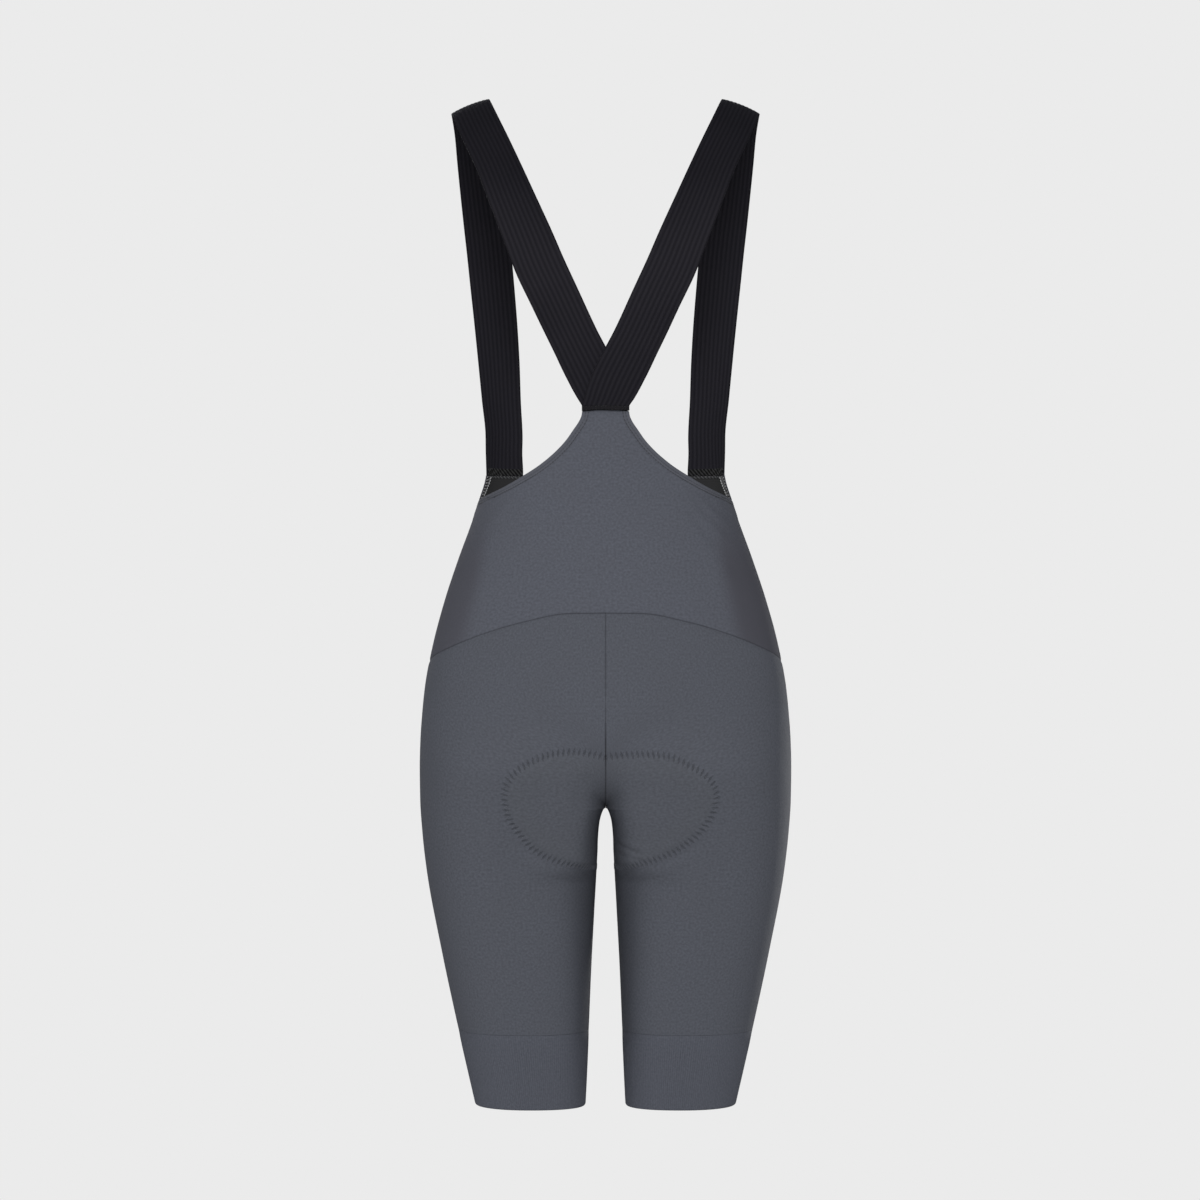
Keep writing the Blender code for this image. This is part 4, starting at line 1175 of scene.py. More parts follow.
def inset_row(u, z, inset):
    """A row that runs beside an edge of the bib, inset from it, on the outer face, and the way the cloth faces."""
    inward = unit(np.cross(facing(u, z), directions(surface(u, z)))) * inset
    step = 0.002
    per_round = (surface(np.minimum(u + step, 1), z) - surface(np.maximum(u - step, 0), z)) / (2 * step)
    around = np.clip(u + (inward * per_round).sum(axis=1) / (per_round**2).sum(axis=1), 0, 1)
    height = z + inward[:, 2]
    return surface(around, height), facing(around, height)


def front_bib(material):
    """The front panel: hems along the armholes and the neckline, and the feet of the straps."""
    start = 0.5 + SEAM_GAP / 2 / side_girth_step(SIDE_TOP_HEIGHT)
    u = np.concatenate(
        (
            start + np.array((0, 0.5, 1.2, 2.2, 3.6)) * MM / LEG_GIRTH,
            np.linspace(start + 0.012, FOOT_OUTER_ROUND, 16),
            np.linspace(FOOT_OUTER_ROUND, FOOT_INNER_ROUND, 16)[1:],
            np.linspace(FOOT_INNER_ROUND, 1, 46)[1:],
        )
    )
    top, low = front_top(u), waist_height(u) + SEAM_GAP / 2
    slope = np.gradient(top, path_length(surface(u, top)))
    stretch = np.clip(np.sqrt(1 + slope**2), 1, MOST_STRETCH_IN_FRONT)
    shares = np.r_[np.linspace(0, 0.975, 46)[1:], 1 - np.array((0.020, 0.013, 0.008, 0.0035, 0))]
    band = top - np.array(HEM_COLUMNS)[:, None] * MM * stretch
    z = np.vstack((band, band[-1] + (low - band[-1]) * shares[:, None]))
    u = np.broadcast_to(u, z.shape)
    points = surface(u, z)
    points[:, -1, 0] = 0
    cloth = np.stack(((1 - u) * FRONT_GIRTH, z), axis=-1)
    points, cloth = joined(points, mirrored(points)), joined(cloth, cloth * (-1, 1))
    base, around = points.reshape(-1, 3), joined(u, u).ravel()
    ids = numbered(points.shape[:2])
    fine = np.linspace(0.5, 1, 300)
    _, relief, values = bib_finish(base, around, evenly_spaced(surface(fine, front_top(fine)), 0.0025))
    # painted shade at the sides, as on the back panel
    values["side_shade"] = 1 - smooth_step(0.62, 0.70, around)
    return wall("front_bib_cloth", ids, base, relief, cloth, KNIT_WALL, material, values=values)


# Straps and the band that closes them


def strap_sheet(side, share):
    """Inner face of one strap as a grid from its foot in front to the back point, and the way it faces."""
    table = np.array(STRAP, float)
    knots = np.arange(len(table), dtype=float)
    last, at_end = len(table) - 1, np.array((0, 0.01, 0.03, 0.06))
    at = np.r_[at_end, np.linspace(0.1, last - 0.1, 330), last - at_end[::-1]]
    stations = np.array([smooth_curve(knots, column, at) for column in table.T]).T
    centre, across = stations[:, :3] * MM, unit(stations[:, 3:6])
    width, bow = stations[:, 6:].T * MM
    turned = unit(np.cross(across, np.gradient(centre, at, axis=0)))
    points = centre[:, None] + across[:, None] * (share[None, :, None] / 2 * width[:, None, None])
    points += turned[:, None] * (bow[:, None] * (1 - share[None, :] ** 2))[:, :, None]
    normals = np.repeat(turned[:, None], len(share), axis=1)
    foot_u = FOOT_INNER_ROUND + (FOOT_OUTER_ROUND - FOOT_INNER_ROUND) * (share + 1) / 2
    level_facing = facing(foot_u, FOOT_HEIGHT) * (1, 1, 0)
    foot = surface(foot_u, FOOT_HEIGHT) - level_facing * STRAP_WALL + (0, 0, SEAM_GAP / 2)
    near_foot = (1 - smooth_step(0, 0.8, at))[:, None, None]
    points += (foot - points[0]) * near_foot
    normals += (level_facing - normals[0]) * near_foot
    on_crossing(side, at, centre, points, normals)
    return points, unit(normals), width, path_length(centre)


def on_crossing(side, at, centre, points, normals):
    """Moves a strap's end behind onto the one curved sheet on which the straps cross, the right one on top."""
    behind = (centre[:, 1] > 0) & (centre[:, 2] < CROSSING[0] / 2)
    sheet_z, sheet_y = centre[behind][::-1, 2], centre[behind][::-1, 1]
    on_sheet = (smooth_step(-CROSSING[0], -CROSSING[1], -centre[:, 2]) * behind)[:, None]
    level = np.interp(points[..., 2], sheet_z, sheet_y) - CROSSING_CURVE * points[..., 0] ** 2
    points[..., 1] += (level - points[..., 1]) * on_sheet
    slope = np.gradient(sheet_y, sheet_z)
    lean = np.interp(points[..., 2], sheet_z, slope) * smooth_step(at[-1], at[-1] - 0.4, at)[:, None]
    sheet_normal = unit(np.stack((2 * CROSSING_CURVE * points[..., 0], np.ones_like(lean), -lean), axis=-1))
    normals += (sheet_normal - normals) * on_sheet[..., None]
    if side == "right":
        points += normals * ((STRAP_WALL + 2 * STRAP_RIB_HEIGHT + SEAM_GAP) * on_sheet)[..., None]


def strap(side, tree, material):
    """One ribbed elastic strap with plain selvedges."""
    edge = np.array((0, 0.007, 0.018, 0.034, 0.055))
    share = np.r_[-1 + edge, np.linspace(-0.925, 0.925, 47), 1 - edge[::-1]]
    points, normals, width, along = strap_sheet(side, share)
    base = points + normals * STRAP_WALL
    shape = points.shape[:2]
    shares, lengths = np.broadcast_to(share, shape), np.broadcast_to(along[:, None], shape)
    cloth = np.stack((shares * STRAP_HALF_WIDTH, lengths), axis=-1)
    ids = numbered(shape)
    gap = (1 - np.abs(shares)) * width[:, None] / 2
    relief = rim_rounding(gap) + SELVEDGE_RISE * (1 - smooth_step(0.0004, 0.0022, gap))

    def keep(sheet):
        sheet = sheet.copy()
        sheet[ids[0], 2], sheet[ids[-1], 2] = base[0, 0, 2], base[-1, 0, 2]
        return sheet

    values = {
        "across": (shares + 1).ravel() / 2,
        "ribbed": smooth_step(0.0016, 0.0032, gap).ravel(),
        "selvedge": 1 - smooth_step(0.0010, 0.0024, gap).ravel(),
    }
    more = {"mirror": side == "right", "keep": keep, "values": values}
    band = wall(
        f"strap_elastic_{side}", ids, base.reshape(-1, 3), relief.ravel(), cloth, STRAP_WALL, material, **more
    )
    return worked(band, tree, ribs=float(STRAP_RIBS), rib_height=STRAP_RIB_HEIGHT, cloth=material)


def tape_y(x):
    """Depth of the junction band's outer face."""
    return TAPE_Y - TAPE_OVERLAP + TAPE_THICKNESS - CROSSING_CURVE * x * x


def junction_tape(material):
    """The short band over the strap ends, its lower edge arched up a little over the back point."""
    top, low = TAPE_TOP - SEAM_GAP, APEX_HEIGHT + SEAM_GAP
    share = np.r_[0, 0.06, 0.14, np.linspace(0.25, 0.8, 7), 0.88, 0.95, 1]
    x, share = np.meshgrid(np.linspace(-TAPE_HALF_WIDTH, TAPE_HALF_WIDTH, 61), share)
    z = top + (low + tape_arch(x) - top) * share
    base = np.stack((x, tape_y(x), z), axis=-1).reshape(-1, 3)
    ids = numbered(x.shape)
    edge = np.minimum.reduce((TAPE_HALF_WIDTH - np.abs(x), top - z, z - low - tape_arch(x))).ravel()
    weave = TAPE_RELIEF * np.sin(x.ravel() / TAPE_WAVE) * smooth_step(0, 0.001, edge)
    relief = rim_rounding(edge) + weave
    return wall("junction_band", ids, base, relief, np.stack((x, z), axis=-1), TAPE_THICKNESS, material)


def tape_row(height):
    """A row across the junction band, on its outer face."""
    x = np.linspace(0.0010 - TAPE_HALF_WIDTH, TAPE_HALF_WIDTH - 0.0010, 40)
    path = np.stack((x, tape_y(x), height + tape_arch(x) * 0.7), axis=1)
    return path, np.stack((2 * CROSSING_CURVE * x, np.ones(len(x)), np.zeros(len(x))), axis=1)


# Seams inside: the overlocked allowances and turned hems that hold the pieces together


def inner_strip(name, path, lay, material, width=ALLOWANCE_WIDTH, depth=KNIT_WALL, thickness=ALLOWANCE_WALL):
    """A strip on the cloth's inner face, behind a row on its outer face."""
    return sewn_strip(name, path - lay * (depth + SEAM_GAP + thickness), -lay, width, thickness, material)


def side_strip(name, side, row, material, **sizes):
    """An inner strip behind a row that is given on the left side."""
    return inner_strip(f"{name}_{side}", *on_side(side, *row), material, **sizes)


def waist_allowance(material):
    """All the way round the waist seam."""
    u = np.linspace(0, 1, 560)
    half, lay = surface(u, waist_height(u)), facing(u, waist_height(u))
    half[[0, -1], 0], lay[[0, -1], 0] = 0, 0
    path, lay = [np.vstack((row, mirrored(row)[::-1][1:])) for row in (half, lay)]
    return inner_strip("waist_allowance", path, lay, material)


def centre_allowance(material):
    """Along the centre seam, from the waist behind down through the crotch and up to the waist in front."""
    behind = np.linspace(waist_height(0.0) - ALLOWANCE_END, CROTCH_HEIGHT, 260)
    before = np.linspace(CROTCH_HEIGHT, waist_height(1.0) - ALLOWANCE_END, 200)
    path = np.vstack((surface(0.0, behind), surface(1.0, before)[1:])) * (0, 1, 1)
    path = softened(evenly_spaced(path, STRIP_SPACING), 12)
    lay = np.cross((1.0, 0.0, 0.0), directions(path))
    return inner_strip("centre_allowance", path, lay, material, width=CENTRE_STRIP)


def side_allowance(side, material):
    z = np.linspace(SIDE_TOP_HEIGHT - HEM_BAND, waist_height(0.5) + ALLOWANCE_END, 190)
    return side_strip("side_allowance", side, (surface(0.5, z), facing(0.5, z)), material)


def gripper_allowance(side, material):
    u = np.linspace(0, 1, 420)
    row = surface(u, GRIPPER_HEIGHT), facing(u, GRIPPER_HEIGHT)
    return side_strip("gripper_allowance", side, row, material, depth=GRIPPER_WALL)


def point_facing(material):
    """The strip behind the back point that the strap ends and their band are sewn to."""
    x = np.linspace(-POINT_HALF_WIDTH, POINT_HALF_WIDTH, 50)
    y = surface(round_at(np.abs(x), APEX_HEIGHT), APEX_HEIGHT)[:, 1]
    path = np.stack((x, y, np.full(len(x), APEX_HEIGHT + POINT_RISE)), axis=1)
    lay = np.tile((0.0, 1.0, 0.0), (len(x), 1))
    return inner_strip("point_facing", path, lay, material, width=POINT_STRIP)


def back_hem(side, material):
    u, z = armhole_row()
    row = spaced_row(*inset_row(u[2:], z[2:], HEM_BAND / 2), STRIP_SPACING)
    return side_strip("back_hem", side, row, material, width=HEM_STRIP)


def front_hem(name, side, first, last, material, width=HEM_STRIP):
    u = np.linspace(first, last, 200)
    row = spaced_row(*inset_row(u, front_top(u), width / 2 + 0.0003), STRIP_SPACING)
    return side_strip(name, side, row, material, width=width)


def spaced_row(path, lay, spacing):
    """The row with evenly spaced points."""
    row = evenly_spaced(np.column_stack((path, lay * 1e-6)), spacing)
    return row[:, :3], unit(row[:, 3:])


def strap_foot_strip(side, material):
    """The black overlocked end of a strap, inside, just above the front panel's turned edge."""
    points, normals, _, _ = strap_sheet(side, np.linspace(-0.97, 0.97, 60))
    row = int(np.argmax(points[:, points.shape[1] // 2, 2] > FOOT_HEIGHT + FOOT_STRIP / 2 + 0.0001))
    path, lay = on_side(side, points[row], normals[row])
    if side == "right":
        path, lay = path[::-1], lay[::-1]
    path, lay = spaced_row(path, lay, FOOT_SPACING)
    sizes = (FOOT_STRIP, FOOT_STRIP_WALL)
    inner = path - lay * (FOOT_STRIP_WALL + SEAM_GAP)
    return sewn_strip(f"strap_foot_{side}", inner, -lay, *sizes, material, loops=FOOT_LOOPS)


def foot_edge(side, material):
    """The front panel's turned edge under a strap foot, as it shows inside."""
    u = np.linspace(FOOT_OUTER_ROUND, FOOT_INNER_ROUND, 60)
    row = inset_row(u, front_top(u), FOOT_EDGE_STRIP / 2 + SEAM_GAP)
    return side_strip("foot_edge", side, row, material, width=FOOT_EDGE_STRIP)


# Seat pad

PAD_ROWS_ABOVE = 24
PAD_ROWS_BELOW = 26
PAD_COLUMNS = 30
PAD_EDGE = 0.0020
PAD_CORE = 0.0080
PAD_CROWN = (0.0005, 0.020)
CHANNEL_INSET = 0.024
RIM_CHANNEL = 0.0024
RIM_CHANNEL_WIDTH = 0.0022
MIDDLE_CHANNEL = 0.0030
MIDDLE_CHANNEL_WIDTH = 0.0042


def pad_patch(side, front):
    """Rounds and heights of one quarter of the pad: rows run down, columns from the centre to the outline."""
    table = PAD_SEAMS["front"][::-1] if front else PAD_SEAMS[side]
    centre = 1.0 if front else 0.0
    line = rounded_path(table, 0.0008)
    line = np.stack((round_at(line[:, 0], line[:, 1], front), line[:, 1]), axis=1)
    line[0, 0] = centre
    line = np.vstack((line, (centre, PAD_TIP)))
    along = path_length(surface(*line.T))
    first, last = np.searchsorted(along / along[-1], PAD_CORNERS["front" if front else side])
    rows = PAD_ROWS_ABOVE + PAD_ROWS_BELOW

    def stretch(start, end, count):
        return evenly(line[start:end], count, path_length(surface(*line[start:end].T)))

    top = stretch(None, first + 1, PAD_COLUMNS)[None]
    outer = stretch(first, last + 1, rows)[:, None]
    low = stretch(last, None, PAD_COLUMNS)[::-1][None]
    heights = np.r_[
        np.linspace(line[0, 1], CROTCH_HEIGHT, PAD_ROWS_ABOVE + 1),
        np.linspace(CROTCH_HEIGHT, PAD_TIP, PAD_ROWS_BELOW + 1)[1:],
    ]
    middle = np.stack((np.full(rows + 1, centre), heights), axis=1)[:, None]
    s = np.linspace(0, 1, PAD_COLUMNS + 1)[None, :, None]
    t = np.linspace(0, 1, rows + 1)[:, None, None]
    at_top, at_low = (1 - s) * top[:, :1] + s * top[:, -1:], (1 - s) * low[:, :1] + s * low[:, -1:]
    return (1 - s) * middle + s * outer + (1 - t) * (top - at_top) + t * (low - at_low)


def seat_pad(material):
    """Soft foam in brushed cloth, thick under the sit bones, with channels along the middle and inside its rim."""
    points, cells, corners, shared = [], [], [], {}
    for side, sign in (("left", 1), ("right", -1)):
        for front in (False, True):
            patch = pad_patch(side, front)
            u, z = patch[..., 0], patch[..., 1]
            sheet = surface(u, z)
            sheet[: PAD_ROWS_ABOVE + 1, 0, 0] = 0
            ids = numbered(u.shape) + len(points)
            points += list(sheet.reshape(-1, 3) * (sign, 1, 1))
            for row in range(len(ids)):
                key = (row, front) if row < PAD_ROWS_ABOVE else row if row == PAD_ROWS_ABOVE else (row, side)
                ids[row, 0] = shared.setdefault(key, ids[row, 0])
            cloth = np.stack((u * LEG_GIRTH * sign, z), axis=-1)
            if (sign > 0) != front:
                ids, cloth = ids[:, ::-1], cloth[:, ::-1]
            cells.append(grid_cells(ids))
            corners.append(grid_cells(cloth))
    cells, base = compact(np.vstack(cells), np.array(points)[None])
    half = on_left(base)
    gap = np.zeros(len(base))
    for side, mine in (("left", base[:, 0] >= 0), ("right", base[:, 0] < 0)):
        gap[mine] = nearest(half[mine], pad_seam_path(side))[0]
    full = smooth_step(*PAD_CROWN, gap)
    thick = PAD_EDGE + (PAD_CORE - PAD_EDGE) * full
    in_rim, in_middle = bell(gap - CHANNEL_INSET, RIM_CHANNEL_WIDTH), bell(half[:, 0], MIDDLE_CHANNEL_WIDTH)
    thick -= RIM_CHANNEL * in_rim * smooth_step(0.006, 0.016, half[:, 0])
    thick -= MIDDLE_CHANNEL * in_middle * smooth_step(-0.668, -0.640, base[:, 2]) * full
    inset, corners = KNIT_WALL + 0.0012, np.vstack(corners)
    return closed_wall("brushed_seat_pad", cells, corners, base, np.full(len(base), -inset), inset + thick, material)


# Finishes


# Painted shade: the inner face of the knit and the grippers is coloured far darker than the cloth, for the shade
# inside the hollow garment
INSIDE_SHADE = (0.030, 0.030, 0.031)
WHITE = (1.0, 1.0, 1.0)
COOL = (0.80, 0.84, 1.0)
WAVE_PITCH = 0.314159


def new_finish(name, roughness, sheen, sheen_roughness, tint, specular):
    """A cloth material with its fixed values on the shader, the places on its flat cloth, and its shader."""
    material = bpy.data.materials.new(name)
    material.use_nodes = True
    shader = material.node_tree.nodes["Principled BSDF"]
    for key, value in (
        ("Roughness", roughness),
        ("Specular IOR Level", specular),
        ("Sheen Weight", sheen),
        ("Sheen Roughness", sheen_roughness),
        ("Sheen Tint", tint),
    ):
        join(value, shader.inputs[key])
    return material, node(material.node_tree, "ShaderNodeUVMap", uv_map="Cloth"), shader


def stripes(place, pitch, direction, distortion):
    """Even stripes across the cloth's own width (X) or length (Y), one each pitch metres."""
    wave = {"Scale": WAVE_PITCH / pitch, "Distortion": distortion, "Detail": 1.0, "Detail Scale": 1.5}
    links = {"Vector": place, **wave}
    return node(place.tree, "ShaderNodeTexWave", links, "Fac", wave_type="BANDS", bands_direction=direction)


def speckle(place, size, detail=2.0):
    return node(place.tree, "ShaderNodeTexNoise", {"Vector": place, "Scale": 1 / size, "Detail": detail}, "Fac")


def mottle(place, size, detail=2.0):
    return spread(speckle(place, size, detail), 0.30, 0.70)


def mixed(share, first, second):
    """A colour between two, by a share from 0 to 1."""
    return node(share.tree, "ShaderNodeMix", {0: share, 6: first, 7: second}, 2, data_type="RGBA")


def named_value(tree, name):
    return node(tree, "ShaderNodeAttribute", output="Fac", attribute_name=name)


def bumped(shader, height, strength, distance):
    links = {"Height": height, "Strength": strength, "Distance": distance}
    join(node(shader.id_data, "ShaderNodeBump", links), shader.inputs["Normal"])


def spread(value, low, high):
    """Maps a value's middle range onto 0 to 1."""
    return node(value.tree, "ShaderNodeMapRange", {"Value": value, "From Min": low, "From Max": high})


def faced(tree, outer, inner):
    """One colour on the cloth's outer face and another on its inner face."""
    return mixed(named_value(tree, "inside"), outer, inner)


def ribbing(tree, ribs):
    """1 on the ribs and 0 between them."""
    return 0.5 - (named_value(tree, "across") * (TURN * ribs)).maths("COSINE") * 0.5


def zigzag_lines(tree):
    """The pad's zigzag stitches: 1 along the slant that sinks into the cloth, and 1 along the slant that shows."""
    off_seam = named_value(tree, "seam_off")
    phase = (named_value(tree, "seam_turns") - 0.25).maths("FRACT")
    across = abs(phase - 0.5) * (2 * ZIGZAG_WIDTH) - ZIGZAG_WIDTH / 2
    ends = off_seam / (ZIGZAG_WIDTH * 0.62)
    line = bell_of((across - off_seam) / ZIGZAG_SOFTNESS) * bell_of(ends * ends)
    sunk = phase.maths("GREATER_THAN", 0.5)
    return line * sunk, line * (1.0 - sunk)


def hem_rows(tree):
    """1 where the stitches press a row into the hem: a faint row, and a plain dashed one at the turned edge."""
    off, along = named_value(tree, "hem_off"), named_value(tree, "hem_place")
    dash = (along * (TURN / STITCH_PITCH)).maths("SINE") * 0.45 + 0.55
    faint, plain = [bell_of((off - inset) / HEM_ROW_SOFTNESS) for inset in HEM_ROWS]
    return (faint * 0.40 + plain) * dash


def knit(name, colour, sheen, wale, roughness, zigzag=False):
    """Stretch knit: fine wales and courses, a soft mottle of its two yarns, and slow uneven tone."""
    material, place, shader = new_finish(
        name, roughness=roughness, sheen=sheen, sheen_roughness=0.45, tint=COOL, specular=0.22
    )
    tree, colour = place.tree, np.array(colour)
    shown = mixed(mottle(place, 0.0021, 3.0), colour * 0.84, colour * 1.16)
    shown = mixed(mottle(place, 0.045) * 0.16, shown, colour * (0.92, 0.88, 0.84))
    yarn = stripes(place, wale, "X", 0.6) * stripes(place, wale * 0.72, "Y", 0.6)
    shown = mixed(0.16 - yarn * 0.16, shown, colour * 0.55)
    shown = mixed(named_value(tree, "pad_area") * 0.13, shown, colour * (0.86, 0.84, 0.70))
    height = speckle(place, 0.0016) * 0.8 + yarn * 0.5
    if zigzag:
        sunk, raised = zigzag_lines(tree)
        # painted highlight along the slant of the zigzag that shows, and painted shade along the slant that sinks
        # into the cloth
        shown = mixed(raised * 0.42, shown, colour * 1.5)
        shown = mixed(sunk * 0.60, shown, colour * 0.30)
        height += sunk * -2.6
    else:
        # painted shade down the bib's sides
        shown = mixed(named_value(tree, "side_shade") * 0.95, shown, colour * (0.70, 0.66, 0.66))
        turned = spread(named_value(tree, "hem_off"), HEM_BAND + 0.0002, HEM_BAND - 0.0004)
        shown = mixed(turned * 0.5, shown, colour * (0.99, 0.96, 0.92))
        row = hem_rows(tree)
        shown = mixed(row * 0.75, shown, colour * 0.25)
        height += row * -2.0
    # painted shadow in the sunk seams
    shown = mixed(named_value(tree, "seam_line") * 0.8, shown, colour * 0.15)
    # painted shade on the inner face
    join(faced(tree, shown, INSIDE_SHADE), shader.inputs["Base Color"])
    bumped(shader, height, strength=0.55, distance=0.00022)
    return material


def elastic(name, colour, sheen):
    """Woven elastic: fine picks across its length, darker between, with a plain selvedge."""
    material, place, shader = new_finish(
        name, roughness=0.72, sheen=sheen, sheen_roughness=0.35, tint=(0.75, 0.78, 0.9), specular=0.28
    )
    tree, colour = place.tree, np.array(colour)
    woven = stripes(place, 0.00105, "Y", 0.4) * stripes(place, 0.00070, "X", 0.8)
    rib = ribbing(tree, STRAP_RIBS)
    join((0.94, 0.88, 1.0), shader.inputs["Specular Tint"])
    join(rib * 0.14 + 0.21, shader.inputs["Specular IOR Level"])
    # painted light: the inner face, which lies in shade, is coloured lighter than the outer face
    # painted shade in the grooves between the ribs
    shown = mixed(0.40 - rib * 0.40, faced(tree, colour, colour * 1.35), colour * 0.45)
    shown = mixed(mottle(place, 0.0018) * 0.25, shown, colour * 1.5)
    shown = mixed(0.35 - woven * 0.35, shown, colour * 0.4)
    shown = mixed(named_value(tree, "selvedge") * 0.5, shown, colour * 0.45)
    join(shown, shader.inputs["Base Color"])
    bumped(shader, woven, strength=0.6, distance=0.00020)
    return material


def gripper_cloth(name, colour, sheen):
    """Ribbed knit of the leg bands: a fine cross pick on every rib and the same mottle as the legs."""
    material, place, shader = new_finish(
        name, roughness=0.84, sheen=sheen, sheen_roughness=0.45, tint=COOL, specular=0.22
    )
    tree, colour = place.tree, np.array(colour)
    shown = mixed(mottle(place, 0.0020, 3.0), colour * 0.86, colour * 1.14)
    # painted shade between the ribs
    shown = mixed((1.0 - ribbing(tree, GRIPPER_RIBS)) * 0.22, shown, colour * 0.5)
    # painted shade on the inner face
    join(faced(tree, shown, INSIDE_SHADE), shader.inputs["Base Color"])
    bumped(shader, stripes(place, 0.00085, "Y", 0.5), strength=0.45, distance=0.00018)
    return material


def thread_finish(name, colour):
    """Twisted thread: light and dark along its ply."""
    material, _, shader = new_finish(
        name, roughness=0.6, sheen=0.2, sheen_roughness=0.4, tint=WHITE, specular=0.3
    )
    place, colour = node(material.node_tree, "ShaderNodeTexCoord", output="Object"), np.array(colour)
    join(mixed(mottle(place, 0.0006), colour * 0.7, colour * 1.25), shader.inputs["Base Color"])
    return material


def overlock(name, colour, thread):
    """A cloth edge under slanting overlock loops of thread."""
    material, place, shader = new_finish(
        name, roughness=0.85, sheen=0.1, sheen_roughness=0.4, tint=WHITE, specular=0.2
    )
    slant = node(place.tree, "ShaderNodeMapping", {"Vector": place, "Rotation": (0.0, 0.0, 0.75)})
    loops = stripes(slant, LOOP_PITCH, "Y", 0.2)
    shown = mixed(mottle(slant, 0.0014), np.array(colour) * 0.75, colour)
    join(mixed(spread(loops, 0.45, 0.85) * 0.8, shown, thread), shader.inputs["Base Color"])
    bumped(shader, loops, strength=0.7, distance=0.0004)
    return material


def pad_cloth(name, colour):
    """Brushed cloth over soft foam, with a fine grid of air holes."""
    material, place, shader = new_finish(
        name, roughness=0.92, sheen=0.35, sheen_roughness=0.5, tint=(0.9, 0.92, 1.0), specular=0.15
    )
    tree, colour = place.tree, np.array(colour)
    nap = mottle(place, 0.0014, 3.0)
    grid = {"Vector": place, "Scale": 330.0, "Randomness": 0.25}
    pits = spread(node(tree, "ShaderNodeTexVoronoi", grid, "Distance"), 0.10, 0.30)
    shown = mixed(nap, colour * 0.8, colour * 1.2)
    join(mixed(pits, colour * 0.35, shown), shader.inputs["Base Color"])
    bumped(shader, pits + nap * 0.3, strength=0.6, distance=0.0004)
    return material


# Studio


SENSOR_MM = 36.0
LENS_MM = 128.95
CAMERA_PLACE = (0.00505, 3.95, -0.4521)
SURROUND_SEEN = (0.8308, 0.8308, 0.8308)
SURROUND_LIGHT = (0.96, 0.98, 1.0)
SURROUND_STRENGTH = 0.07
FLOOR_COLOUR = (0.82, 0.82, 0.82)
FLOOR_RADIUS = 1.55
FLOOR_HEIGHT = -1.26
# Name, place, size, power in watts, spread in degrees, and the place it is turned to
LAMPS = (
    ("key", (0.00, 3.4, 0.60), (1.1, 1.1), 77.0, 180, (0, 0, -0.5)),
    ("low_left", (1.3, 2.5, -0.8), (0.5, 0.3), 1.5, 180, (0, 0, -0.5)),
    ("side_left", (2.4, 0.6, 0.35), (0.8, 1.0), 18.0, 180, (0, 0, -0.5)),
    ("side_right", (-2.4, 0.6, 0.35), (0.8, 1.0), 14.0, 180, (0, 0, -0.5)),
    ("rim_right", (-1.6, -3.0, -0.66), (0.4, 0.4), 0.19, 9, (-0.15, 0, -0.67)),
    ("front_fill", (0.9, -3.2, 0.6), (2.0, 2.0), 26.0, 180, (0, 0, -0.5)),
)


def studio():
    """Camera straight behind the garment, even soft light from that side, a pale floor and a pale surround."""
    scene = bpy.context.scene
    scene.view_settings.view_transform = "Standard"
    scene.view_settings.look = "None"
    data = bpy.data.cameras.new("camera")
    data.sensor_width, data.lens, data.clip_end = SENSOR_MM, LENS_MM, 50.0
    camera = shown_piece("camera", data)
    camera.location = CAMERA_PLACE
    camera.rotation_euler = (math.radians(90), 0, math.radians(180))
    scene.camera = camera
    world = bpy.data.worlds.new("surround")
    scene.world = world
    world.use_nodes = True
    tree = world.node_tree
    tree.nodes.clear()
    pale = node(tree, "ShaderNodeBackground", {"Color": SURROUND_SEEN, "Strength": 1.0})
    soft = node(tree, "ShaderNodeBackground", {"Color": SURROUND_LIGHT, "Strength": SURROUND_STRENGTH})
    seen = node(tree, "ShaderNodeLightPath", output="Is Camera Ray")
    node(tree, "ShaderNodeOutputWorld", {0: node(tree, "ShaderNodeMixShader", {0: seen, 1: soft, 2: pale})})
    for name, place, size, power, fan, aim in LAMPS:
        light = bpy.data.lights.new(name, "AREA")
        light.shape, light.size, light.size_y, light.energy = "RECTANGLE", size[0], size[1], power
        light.spread = math.radians(fan)
        lamp = shown_piece(name, light)
        lamp.location = place
        lamp.rotation_euler = (Vector(aim) - lamp.location).to_track_quat("-Z", "Y").to_euler()
        lamp.visible_camera = False
    bpy.ops.mesh.primitive_circle_add(vertices=128, radius=FLOOR_RADIUS, fill_type="NGON", location=(0, 0, 0))
    floor = bpy.context.object
    floor.name = "floor"
    floor.data.transform(Matrix.Translation((0, 0, FLOOR_HEIGHT)))
    paint = bpy.data.materials.new("floor_paint")
    paint.use_nodes = True
    shader = paint.node_tree.nodes["Principled BSDF"]
    join(FLOOR_COLOUR, shader.inputs["Base Color"])
    join(0.9, shader.inputs["Roughness"])
    floor.data.materials.append(paint)
    floor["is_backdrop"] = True


def both_sides(path, lay):
    return [(path, lay), (mirrored(path), mirrored(lay))]


